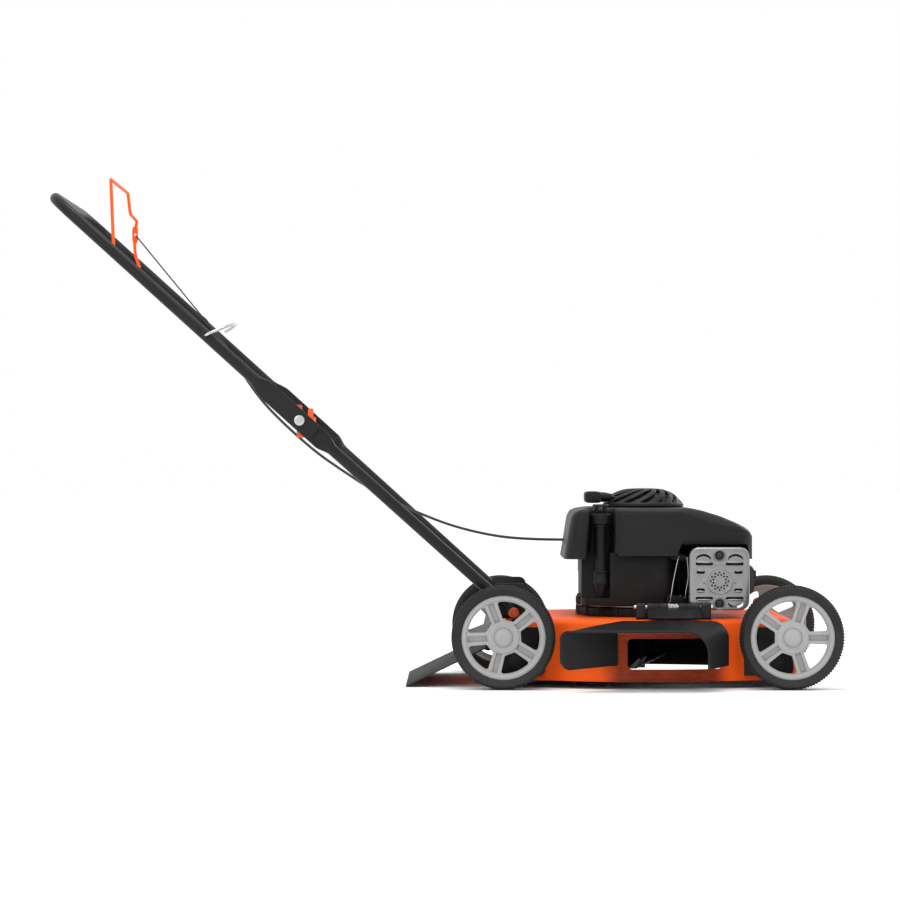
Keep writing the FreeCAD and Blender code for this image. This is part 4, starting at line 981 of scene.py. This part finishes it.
def recoil_cover():
    """Domed cover whose fins and slots sweep round the dome."""
    centre = foot_of("recoil_cover") + X * 6 * MM
    profile = [(82, 0), (82, 5.5), (81, 7.5), (78, 11), (74, 15), (71, 18.5), (68, 22), (63, 26), (57, 29.6),
               (51, 32.2), (45, 34.2), (39, 35.8), (34, 36.6), (24, 37.4), (12, 37.9), (0.5, 38.0)]
    slots = 14
    per_slot = 9
    columns = slots * per_slot
    twist = math.radians(58)
    points = []
    for i, (radius, height) in enumerate(profile):
        share = min(max((i - 2) / 10, 0), 1)
        for j in range(columns):
            angle = 2 * math.pi * j / columns + twist * share
            points.append(centre + Vector((radius * math.cos(angle), radius * math.sin(angle), height)) * MM)
    faces = []
    for number, face in enumerate(quads(len(profile), columns)):
        row, column = divmod(number, columns)
        if not (3 <= row <= 11 and column % per_slot < 4):
            faces.append(face)
    obj = mesh_object("recoil_cover_moulding", points, faces)
    thicken(obj, 4.5)
    round_off = obj.modifiers.new("round", "SUBSURF")
    round_off.levels = 1
    round_off.render_levels = 1
    flat_copy(obj)
    smooth(obj, 60)
    return finish(obj, "recoil_cover")


def recoil_screen():
    """Dark inner dome behind the cover's slots."""
    centre = foot_of("recoil_cover") + X * 4 * MM
    profile = [(0, 72), (6, 71), (14, 66), (22, 56), (27, 44), (29.5, 30), (30.5, 14), (30.8, 0.4)]
    obj = lathe("recoil_screen", profile, centre, Z, 60, False, 60)
    return detail(obj, body_of("recoil_cover"), "black_plastic")


def oil_filler():
    """Ribbed filler tube, and the dipstick's cap with its cage grip."""
    tall = size("oil_fill_tube").z / MM
    profile = [(0, 5.5), (4, 7.5), (20, 11.6), (26, 12.2), (27, 14.4), (29, 14.9), (38, 14.9), (39, 14.2),
               (51, 14.2), (52, 14.9), (54, 14.4), (55, 12.0), (58, 11.4), (tall - 8, 12.8), (tall - 7, 14.2),
               (tall - 1, 14.2), (tall, 13.4), (tall, 9.4), (tall - 60, 9.0), (20, 8.0), (4, 4.6)]
    finish(lathe("oil_fill_tube_moulding", profile, foot_of("oil_fill_tube"), Z, 48), "oil_fill_tube")
    top = foot_of("oil_dipstick") + Z * size("oil_dipstick").z
    loops = []
    rim_steps = 96
    for down, radius, cut in ((-15.5, 13.5, 0), (-15.2, 17.5, 0.3), (-16.5, 19.8, 0.7), (-19, 20.6, 1),
                              (-32, 20.6, 1), (-35.2, 19.6, 0.6), (-36.4, 16.5, 0)):
        loop = []
        for i in range(rim_steps):
            angle = 2 * math.pi * i / rim_steps
            grip = radius - cut * 0.8 * max(0, math.cos(24 * angle))
            loop.append(top + Vector((grip * math.cos(angle), grip * math.sin(angle), down)) * MM)
        loops.append(loop)
    cap = smooth(loft("cap", loops), 40)
    posts = []
    for i in range(4):
        turn = math.radians(45 + 90 * i)
        out = Vector((math.cos(turn), math.sin(turn), 0))
        side = box_outline(-3.2, 3.2, -2.4, 2.4, 1.2)
        flat = facing(top + out * 11.5 * MM - Z * 16 * MM, out.cross(Z), out)
        posts.append(plate("post", [side], 0, 17, 0.6, flat))
    crown_profile = [(-2.0, 15.2), (-1.2, 16.0), (2.0, 16.0), (3.4, 14.6), (3.4, 9.5), (2.2, 8.4),
                     (-1.6, 8.4), (-2.0, 9.0)]
    crown = lathe("crown", crown_profile, top, Z, 60)
    stick = tube("stick", [top - Z * 30 * MM, top - Z * 90 * MM, top - Z * 162 * MM], 2.0)
    obj = join("oil_dipstick_cap", [cap, crown, stick] + posts)
    return finish(obj, "oil_dipstick")


def starter_grip():
    """T grip with flared ends, a stepped neck and the rope."""
    low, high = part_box("starter_handle")
    mid_z = (low.z + high.z) / 2
    neck_y = low.y + 36 * MM
    rear = low.x
    stations = []
    grip = ((-36, 13, 9), (-35.4, 15.6, 10.8), (-33.5, 17, 11.6), (-26, 17.2, 11.6), (-12, 16.4, 10.8),
            (0, 16.0, 10.6), (12, 16.2, 10.8), (26, 17.0, 11.6), (33.5, 17, 11.6), (35.4, 15.6, 10.8),
            (36, 13, 9))
    for over, deep, tall in grip:
        centre = Vector((rear + 17 * MM, neck_y + over * MM, mid_z))
        stations.append((centre, X, Z, deep, tall, 4.2))
    bar = smooth(sweep("bar", stations), 40)
    neck = [(-20, 9.5), (0, 10.6), (2, 10.6), (3, 9.8), (5, 9.8), (6, 10.2), (9, 10.0), (16, 8.4), (24, 6.8),
            (25, 6.2), (25, 2.2), (46, 2.0), (46, 0.3)]
    foot = Vector((rear + 31 * MM, neck_y, mid_z))
    stem = lathe("stem", neck, foot, X, 40, False)
    return finish(join("starter_grip", [bar, stem]), "starter_handle")


# ---------------------------------------------------------------- muffler guard


def muffler_guard():
    """Pressed shield: rolled skirt, ring of holes in a shallow boss, slots with brows, two screw wells."""
    low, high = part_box("muffler_guard")
    wide = (high.x - low.x) / 2 / MM
    tall = (high.z - low.z) / 2 / MM
    deep = (high.y - low.y) / MM
    centre = Vector(((low.x + high.x) / 2, low.y, (low.z + high.z) / 2))
    place = facing(centre, X, Z)
    roll = 5.0
    corner = 19.0

    def frame_loop(inset, back):
        outline = box_outline(-wide + inset, wide - inset, -tall + inset, tall - inset, corner - inset)
        return [place @ Vector((p.x * MM, p.y * MM, -back * MM)) for p in outline]

    outer = [(0, deep), (0, roll)]
    for k in range(1, 7):
        turn = math.pi / 2 * k / 6
        outer.append((roll * (1 - math.cos(turn)), roll * (1 - math.sin(turn))))
    inner = [(i + 1.4, max(b, 1.4)) for i, b in reversed(outer[:-1])]
    skirt = loft("skirt", [frame_loop(i, b) for i, b in outer + inner], closed=False, caps=False)
    smooth(skirt, 50)
    ring_z = -4.5
    holes = [box_outline(-wide + roll, wide - roll, -tall + roll, tall - roll, corner - roll)]
    for radius, start in ((17.2, 0), (12.6, 15)):
        for i in range(12):
            angle = math.radians(start + 30 * i)
            holes.append(circle(radius * math.cos(angle), ring_z + radius * math.sin(angle), 1.8, 12))
    screws = screw_heights()
    for z in screws:
        holes.append(circle(0, z, 9.8, 32))
    slots = []
    for up in (-1, 1):
        slots += [(-47, -13, up * 34.0, up), (12, 47, up * 34.0, up), (-45, -29, up * 17.5, up),
                  (29, 45, up * 17.5, up)]
        holes.append(arch(-46, -17, ring_z + up * 43.5, up * 7.5, 4.4))
        holes.append(arch(17, 46, ring_z + up * 43.5, up * 7.5, 4.4))
    for x0, x1, z, up in slots:
        holes.append(box_outline(x0, x1, ring_z + z - 3.0, ring_z + z + 3.0, 2.8))
    face = plate("face", holes, -1.4, 0, 0.35, place)
    pieces = [skirt, face]
    for x0, x1, z, up in slots:
        pieces.append(louvre(place, x0, x1, ring_z + z + up * 3.1, up))
    boss = [(0, 27.0), (0.9, 25.6), (0.9, 24.4), (0, 23.0)]
    pieces.append(lathe("boss", boss, place @ Vector((0, ring_z * MM, 0)), -Y, 48, degrees=50))
    for z in screws:
        well = [(0, 13.0), (1.2, 12.2), (1.0, 11.2), (-1.6, 10.0), (-4.2, 9.4), (-4.4, 3.6), (-5.2, 3.6),
                (-2.2, 10.8)]
        pieces.append(lathe("well", well, place @ Vector((0, z * MM, 0)), -Y, 36, degrees=50))
    for x in (-28, 28):
        dimple = [(0, 5.2), (0.8, 4.0), (0.9, 2.8), (0.2, 1.4), (0, 0.3)]
        at = place @ Vector((x * MM, ring_z * MM, 0))
        pieces.append(lathe("dimple", dimple, at, -Y, 28, False, 50))
    obj = join("muffler_guard_pressing", pieces)
    return finish(obj, "muffler_guard")


def arch(x0, x1, z, rise, thick):
    """Outline of an arched slot between x0 and x1 that stands on z."""
    over = []
    under = []
    for k in range(13):
        share = k / 12
        x = x0 + (x1 - x0) * share
        crown = z + rise * math.sin(math.pi * share) ** 0.6
        over.append(Vector((x, crown + thick / 2)))
        under.append(Vector((x, crown - thick / 2)))
    return over + under[::-1]


def screw_heights():
    """Screw heights from the guard's middle, from the screws' own box."""
    low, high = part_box("muffler_screws")
    mid = middle("muffler_guard").z
    return ((high.z - mid) / MM - 5.2, (low.z - mid) / MM + 5.2)


def louvre(place, x0, x1, z, up):
    """Pressed eyebrow beside a slot, standing out of the face."""
    loops = []
    steps = 10
    for k in range(steps + 1):
        share = k / steps
        x = x0 + (x1 - x0) * share
        swell = math.sin(math.pi * share) ** 0.35 if 0 < share < 1 else 0.02
        loop = []
        for i in range(9):
            turn = math.pi * i / 8
            loop.append(place @ Vector((x * MM, (z - up * 2.4 * math.cos(turn) * swell) * MM,
                                        2.3 * math.sin(turn) * swell * MM)))
        loops.append(loop)
    return smooth(loft("louvre", loops), 60)


def muffler_screws():
    """Dark flanged screws sunk in the guard's wells."""
    middle_x = middle("muffler_screws").x
    face_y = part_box("muffler_guard")[0].y
    pieces = []
    for z in screw_heights():
        seat = Vector((middle_x, face_y, middle("muffler_guard").z + z * MM))
        washer = [(-4.3, 9.2), (-3.4, 9.0), (-3.0, 6.4), (-3.0, 0.3)]
        pieces.append(paint(lathe("washer", washer, seat, -Y, 32, False, 30), "black_paint"))
        head = [(-3.0, 6.0), (-1.8, 6.2), (-1.2, 5.4), (1.6, 5.0), (2.4, 4.2), (2.4, 2.6), (0.2, 2.4),
                (0.2, 0.3)]
        pieces.append(lathe("head", head, seat, -Y, 24, False, 30))
        pieces.append(tube("shank", [seat + Y * 2 * MM, seat + Y * 8 * MM, seat + Y * 17 * MM], 3.0, 4))
    for piece in pieces:
        if not piece.data.materials:
            paint(piece, "blade_steel")
    obj = join("muffler_screw_heads", pieces)
    return finish(obj, "muffler_screws")


# ---------------------------------------------------------------- discharge hood


# Discharge hood: depth, then roof and foot heights and the front corner's radius at the deck and at the mouth
HOOD_DEPTH = 87
HOOD_ROOF = (134, 117.5)
HOOD_REAR_FOOT = (47, 42)
HOOD_FRONT_FOOT = (47, 44)
HOOD_FRONT_R = (34, 44)
HOOD_REAR_R = 14
HOOD_TIP_R = 18


def deflector():
    """Moulded hood: upright rear wall, roof and round front wall lofted from the deck to a swept mouth."""
    low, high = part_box("discharge_deflector")
    mouth_y = low.y
    deck_y = mouth_y + HOOD_DEPTH * MM
    hinge = middle("chute_hinge_rod")
    rear_out, front_out = low.x, low.x + 284 * MM
    rear_in, front_in = low.x + 112 * MM, high.x + 4 * MM
    sections = 33
    loops = []
    for k in range(sections):
        share = k / (sections - 1)
        ease = share ** 1.15
        y = between(deck_y, mouth_y, share)
        rear = between(rear_in, rear_out, share) / MM
        front = between(front_in, front_out, ease) / MM
        top = between(*HOOD_ROOF, ease)
        near = max(0, HOOD_TIP_R - rear + rear_out / MM)
        lift = HOOD_TIP_R - math.sqrt(HOOD_TIP_R ** 2 - min(near, HOOD_TIP_R - 0.5) ** 2)
        foot_rear = between(*HOOD_REAR_FOOT, share) + lift
        foot_front = between(*HOOD_FRONT_FOOT, share)
        r_front = between(*HOOD_FRONT_R, share)
        path = [(rear, foot_rear), (rear, (foot_rear + top) / 2)]
        path += corner_points(rear + HOOD_REAR_R, top - HOOD_REAR_R, HOOD_REAR_R, 180, 90)
        path += corner_points(front - r_front, top - r_front, r_front, 90, 0)
        path += [(front, (foot_front + top - r_front) / 2), (front, foot_front)]
        loops.append([Vector((x * MM, y, z * MM)) for x, z in path])
    points = [p for loop in loops for p in loop]
    skin = mesh_object("skin", points, quads(sections, len(loops[0]), ring=False))
    thicken(skin, 3.2)
    bevel(skin, 0.9, 50)
    lip = tube("lip", [p + Y * 1.2 * MM for p in loops[-1]], 2.1, 3)
    pieces = [skin, lip]
    barrel = [(-52, 4.3), (-52, 7.0), (-51, 8.0), (-30, 8.0), (-29, 7.2), (-27, 7.2), (-26, 8.0),
              (-10.5, 8.0), (-9.5, 7.0), (-9.5, 4.3)]
    far_barrel = [(-a, r) for a, r in barrel]
    for profile in (barrel, far_barrel):
        pieces.append(lathe("barrel", profile, hinge, X, 32))
    down = Vector((0, deck_y + 2 * MM - hinge.y, (HOOD_ROOF[0] + 4) * MM - hinge.z))
    panel_up = -down.normalized()
    panel_place = facing(hinge + down / 2, X, panel_up)
    tall = down.length / 2 / MM
    panel = rounded([(-52, -tall, 1), (52, -tall, 1), (52, tall - 7, 2), (46, tall + 3, 3),
                     (-52, tall + 3, 2)])
    pieces.append(plate("panel", [panel], -2.2, 1.4, 0.7, panel_place))
    for x in (-49, -44, -39, 39, 44, 49):
        rib = box_outline(x - 1, x + 1, -tall, tall - 4, 0.6)
        pieces.append(plate("rib", [rib], 1.0, 3.0, 0.5, panel_place))
    obj = join("discharge_hood", pieces)
    # The hood's own copy of the black plastic, with painted shade on the inner face of its rear wall near the
    # deck.
    shaded = mats["black_plastic"].copy()
    shaded.name = "hood_plastic_painted_shade"
    from_low = (low.x + 0.075, low.y - 0.1, 0.030)
    to_high = (low.x + 0.150, deck_y + 0.1, 0.108)
    shade = (0.0015, 0.0015, 0.0015)
    obj.data.materials.append(painted_shade_box(shaded, from_low, to_high, shade, (0.05, 0.01, 0.008)))
    return finish(obj, "discharge_deflector")


def corner_points(cx, cz, radius, start, stop):
    return [(x, z) for x, z, *outward in arc_points(cx, cz, radius, start, stop, 8)]


# ---------------------------------------------------------------- deck


def deck_shell():
    """Stamped shell: orange outside with painted shade round the opening, and black paint inside that stands
    in for the shade under the deck.
    """
    obj = soften("deck_shell", 0.7)
    mesh = obj.data
    low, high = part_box("deck_shell")
    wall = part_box("discharge_deflector")
    # Painted shade of the hood: a brown darkening of the orange round the discharge opening.
    outside = mats["orange_paint"].copy()
    outside.name = "deck_paint_painted_shade"
    from_low = (wall[0].x + 0.097, low.y - 0.1, 0.004)
    to_high = (wall[1].x - 0.006, low.y + 0.1, 0.112)
    mesh.materials[0] = painted_shade_box(outside, from_low, to_high, (0.100, 0.016, 0.010), (0.022, 0.01, 0.010))
    # Black paint on the inside faces stands in for the shade under the deck.
    mesh.materials.append(mats["black_paint"])
    centre = (low + high) / 2
    for face in mesh.polygons:
        flat_out = Vector((face.center.x - centre.x, face.center.y - centre.y, 0))
        if abs(face.normal.z) < 0.5:
            inside = face.normal.dot(flat_out) < 0
        else:
            inside = face.normal.z < 0 and face.center.z > low.z + 8 * MM
        face.material_index = 1 if inside else 0
    return obj


# ---------------------------------------------------------------- engine block


def sump_details():
    """Flange round the foot of the case, bosses with screws, and the gasket's pale edge."""
    low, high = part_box("sump_cover")
    crank = middle("crankshaft")
    centre = Vector((crank.x, crank.y, high.z))
    radius = (high.x - low.x) / 2 / MM + 1
    flange = [(-1.5, 100), (-1.5, radius - 1), (-0.5, radius), (7.5, radius), (9.5, radius - 2),
              (10.5, radius - 8), (10.5, 100)]
    detail(lathe("case_flange", flange, centre, Z, 120), "chassis", "cast_alloy")
    gasket = [(-2.9, radius - 3), (-2.9, radius + 1.2), (-1.7, radius + 1.2), (-1.7, radius - 3)]
    detail(lathe("sump_gasket", gasket, centre, Z, 120), "chassis", "guard_steel")
    lugs = []
    screws = []
    for degrees in (172, 190, 209, 228, 244, 262, 288, 314, 340, 20, 62, 118, 150):
        angle = math.radians(degrees)
        out = Vector((math.cos(angle), math.sin(angle), 0))
        place = centre + out * (radius - 2) * MM
        pad = rounded([(-7.5, -12, 2), (7.5, -12, 2), (7.5, 4, 5), (-7.5, 4, 5)])
        spread = Matrix((Z.cross(out), out, Z)).transposed().to_4x4()
        flat = Matrix.Translation(place) @ spread
        for z0, z1 in ((-22, -3.4), (-1.4, 13)):
            lugs.append(plate("lug", [pad], z0, z1, 0.9, flat))
        head = [(13, 5.2), (13.6, 5.4), (14.2, 5.0), (14.2, 4.5), (18.0, 4.3), (18.6, 3.8), (18.6, 0.3)]
        screws.append(lathe("screw", head, place - out * 2 * MM, Z, 6, False, 20))
    join_detail("sump_bosses", lugs, "cast_alloy")
    join_detail("sump_screws", screws, "blade_steel")


def join_detail(name, pieces, slot):
    obj = join(name, pieces)
    return detail(obj, "chassis", slot)


def governor_linkage():
    """Throttle plate, governor arm, two thin rods and the return spring."""
    low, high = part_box("governor_linkage")
    y = (low.y + high.y) / 2

    def at(x, z, over=0):
        return Vector((low.x + x * MM, y + over * MM, z * MM))

    rods = [
        tube("rod", [at(24, 256), at(22, 250, -2), at(14, 214, -3), at(9, 182, -3), at(6, 160, 0)], 1.1),
        tube("rod", [at(40, 254), at(41, 246, -2), at(43, 214, -3), at(38, 188, -2), at(36, 174, 0)], 1.0),
    ]
    coil = []
    for i in range(60):
        turn = i * math.pi / 4
        coil.append(at(50 + 2.6 * math.cos(turn), 236 - i * 0.62, 2.6 * math.sin(turn)))
    rods.append(tube("coil", coil, 0.5, 4))
    bars = []
    for outline, z in (
        ([(8, 250, 3), (40, 246, 3), (40, 256, 3), (22, 262, 3), (8, 262, 3)], 0),
        ([(0, 158, 4), (36, 164, 4), (36, 176, 4), (0, 180, 4)], 0),
    ):
        place = facing(at(0, 0), X, Z)
        bars.append(plate("bar", [rounded(outline)], -1.6, 0.6, 0.4, place))
    wires = join("governor_rods", rods)
    finish(wires, "governor_linkage")
    join_detail("governor_plates", bars, "cast_alloy")


# CAD pieces that keep their shape: edge radius in millimetres and steps across it
SOFTENED = {
    "crankcase": (2.2, 3), "sump_cover": (1.4, 2), "cylinder_head": (0.7, 2), "muffler_body": (2.0, 3),
    "carburettor": (1.0, 2), "spark_plug": (0.6, 2), "engine_bolts": (0.5, 2), "air_filter_cover": (3.0, 4),
    "fuel_tank": (1.0, 2), "fuel_cap": (1.0, 2), "brake_lever": (0.4, 2), "blade": (0.5, 2),
    "blade_bolt": (0.6, 2), "blade_adapter": (0.8, 2), "axle_brackets": (1.0, 2),
    "chute_hinge_bracket": (1.0, 2), "rear_flap": (0.7, 2), "flap_hinge_rod": (0.5, 2),
}


def block_castings():
    for node, (width, segments) in SOFTENED.items():
        soften(node, width, segments)


# ---------------------------------------------------------------- wires and cable


def bent(points, bend):
    """Control points that keep straight runs and turn each corner within the bend distance."""
    made = [points[0]]
    for a, b, c in zip(points, points[1:], points[2:]):
        into = (a - b).normalized()
        out = (c - b).normalized()
        made += [b + into * bend * MM, b, b + out * bend * MM]
    made.append(points[-1])
    return made


def bail():
    """Bent wire bail: a straight right leg, a jogged left leg and a flattened tab for the stop cable."""
    low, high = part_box("bail")
    pivot = joint_place("bail_press")
    leg = 228
    grip = 150
    top = (high.z - pivot.z) / MM - 3.25

    def at(x, y, z):
        return pivot + Vector((x, y, z)) * MM

    right = [at(0, low.y / MM, 0), at(0, -leg, 0), at(-14, -grip - 8, top), at(-15, grip, top),
             at(-10, grip, 104), at(-5, leg, 95), at(-7, leg, 80)]
    left = [at(-10, leg, 52), at(-8, leg, 24), at(0, leg, 0), at(0, high.y / MM, 0)]
    upper = tube("upper", bent(right, 8), 3.25, 8)
    lower = tube("lower", bent(left, 8), 3.25, 8)
    outline = rounded([(-3, -18, 2), (3, -18, 2), (6, -12, 4), (6, 13, 4), (3, 18, 2), (-3, 18, 2),
                       (-6, 13, 4), (-6, -12, 4)])
    hole = circle(0.5, 1, 2.3, 16)
    tab = plate("tab", [outline, hole], -1.6, 1.6, 0.8, facing(at(-8.5, leg, 66), X, Z))
    return finish(join("bail_wire", [upper, lower, tab]), "bail")


def rope_guide():
    """Open pigtail eye that starts outside the right tube and crosses over it."""
    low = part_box("rope_guide")[0]
    foot = Vector((low.x + 3 * MM, low.y, 0.691))

    def at(x, y, z):
        return foot + Vector((x, y, z)) * MM

    points = [at(0, 2, -2), at(5, -2, 0), at(22, 6, 8), at(42, 24, 17), at(53, 46, 21), at(56, 62, 22),
              at(52, 70, 20), at(47, 60, 14), at(41, 48, 9), at(36, 40, 6)]
    wire = paint(tube("wire", points, 2.9, 10), "bright_steel")
    socket = lathe("socket", [(-0.6, 6.0), (0.4, 6.6), (1.4, 6.0), (1.4, 3.0), (-0.6, 3.0)], foot, Y, 24)
    pieces = [wire, paint(socket, "black_plastic")]
    return finish(join("rope_guide_wire", pieces), "rope_guide")


# Stop cable's sheath from the upper handle down to the engine, in millimetres
CABLE = [(-506, 232, 737), (-468, 229, 692), (-426, 223, 622), (-386, 214, 567), (-343, 206, 524),
         (-308, 200, 492), (-266, 192, 457), (-222, 184, 427), (-172, 176, 394), (-116, 168, 362),
         (-56, 159, 335), (4, 148, 312), (60, 134, 297), (116, 115, 287), (172, 92, 283.5), (226, 69, 283),
         (262, 60, 283)]


def stop_cable():
    """Sheath along a fixed route from the upper handle to the engine, and the bare wire with its ferrule."""
    points = [Vector(p) * MM for p in CABLE]
    sheath = tube("stop_cable_sheath", points, 2.75, 14)
    paint(sheath, "cable_jacket")
    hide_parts("brake_cable_upper", "brake_cable_lower")
    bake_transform(sheath)
    start = joint_place("bail_press") + Vector((-6, 224, 64)) * MM
    end = points[0]
    wire = paint(tube("wire", [start, start.lerp(end, 0.4), end], 1.4, 3), "cable_jacket")
    back = (start - end).normalized()
    ferrule = [(-3, 2.9), (-3, 3.5), (0, 3.9), (9, 3.6), (10, 2.6), (15, 2.4), (15.5, 1.2)]
    sleeve = lathe("sleeve", ferrule, end, back, 24, False)
    whole = join("stop_cable_wire", [wire, paint(sleeve, "cable_jacket")])
    return finish(whole, "brake_wire", slot="cable_jacket")


# ---------------------------------------------------------------- assembly

camera()
studio()
floor()
mats = make_materials()

for name, obj in nodes.items():
    slot_name = slot_of(name)
    obj.data.materials.clear()
    obj.data.materials.append(mats[slot_name])

for end, spoke_turn in (("front", 0), ("rear", 39)):
    for side_name in ("left", "right"):
        tyre(end, side_name)
        rim(end, side_name, spoke_turn if side_name == "right" else spoke_turn + 20)
lever_knobs()

upper_handle()
lower_handle("left")
lower_handle("right")
handle_fittings()
blower_shroud()
recoil_cover()
recoil_screen()
starter_grip()
oil_filler()
muffler_guard()
muffler_screws()
deflector()
deck_shell()
sump_details()
governor_linkage()
block_castings()
bail()
rope_guide()
stop_cable()
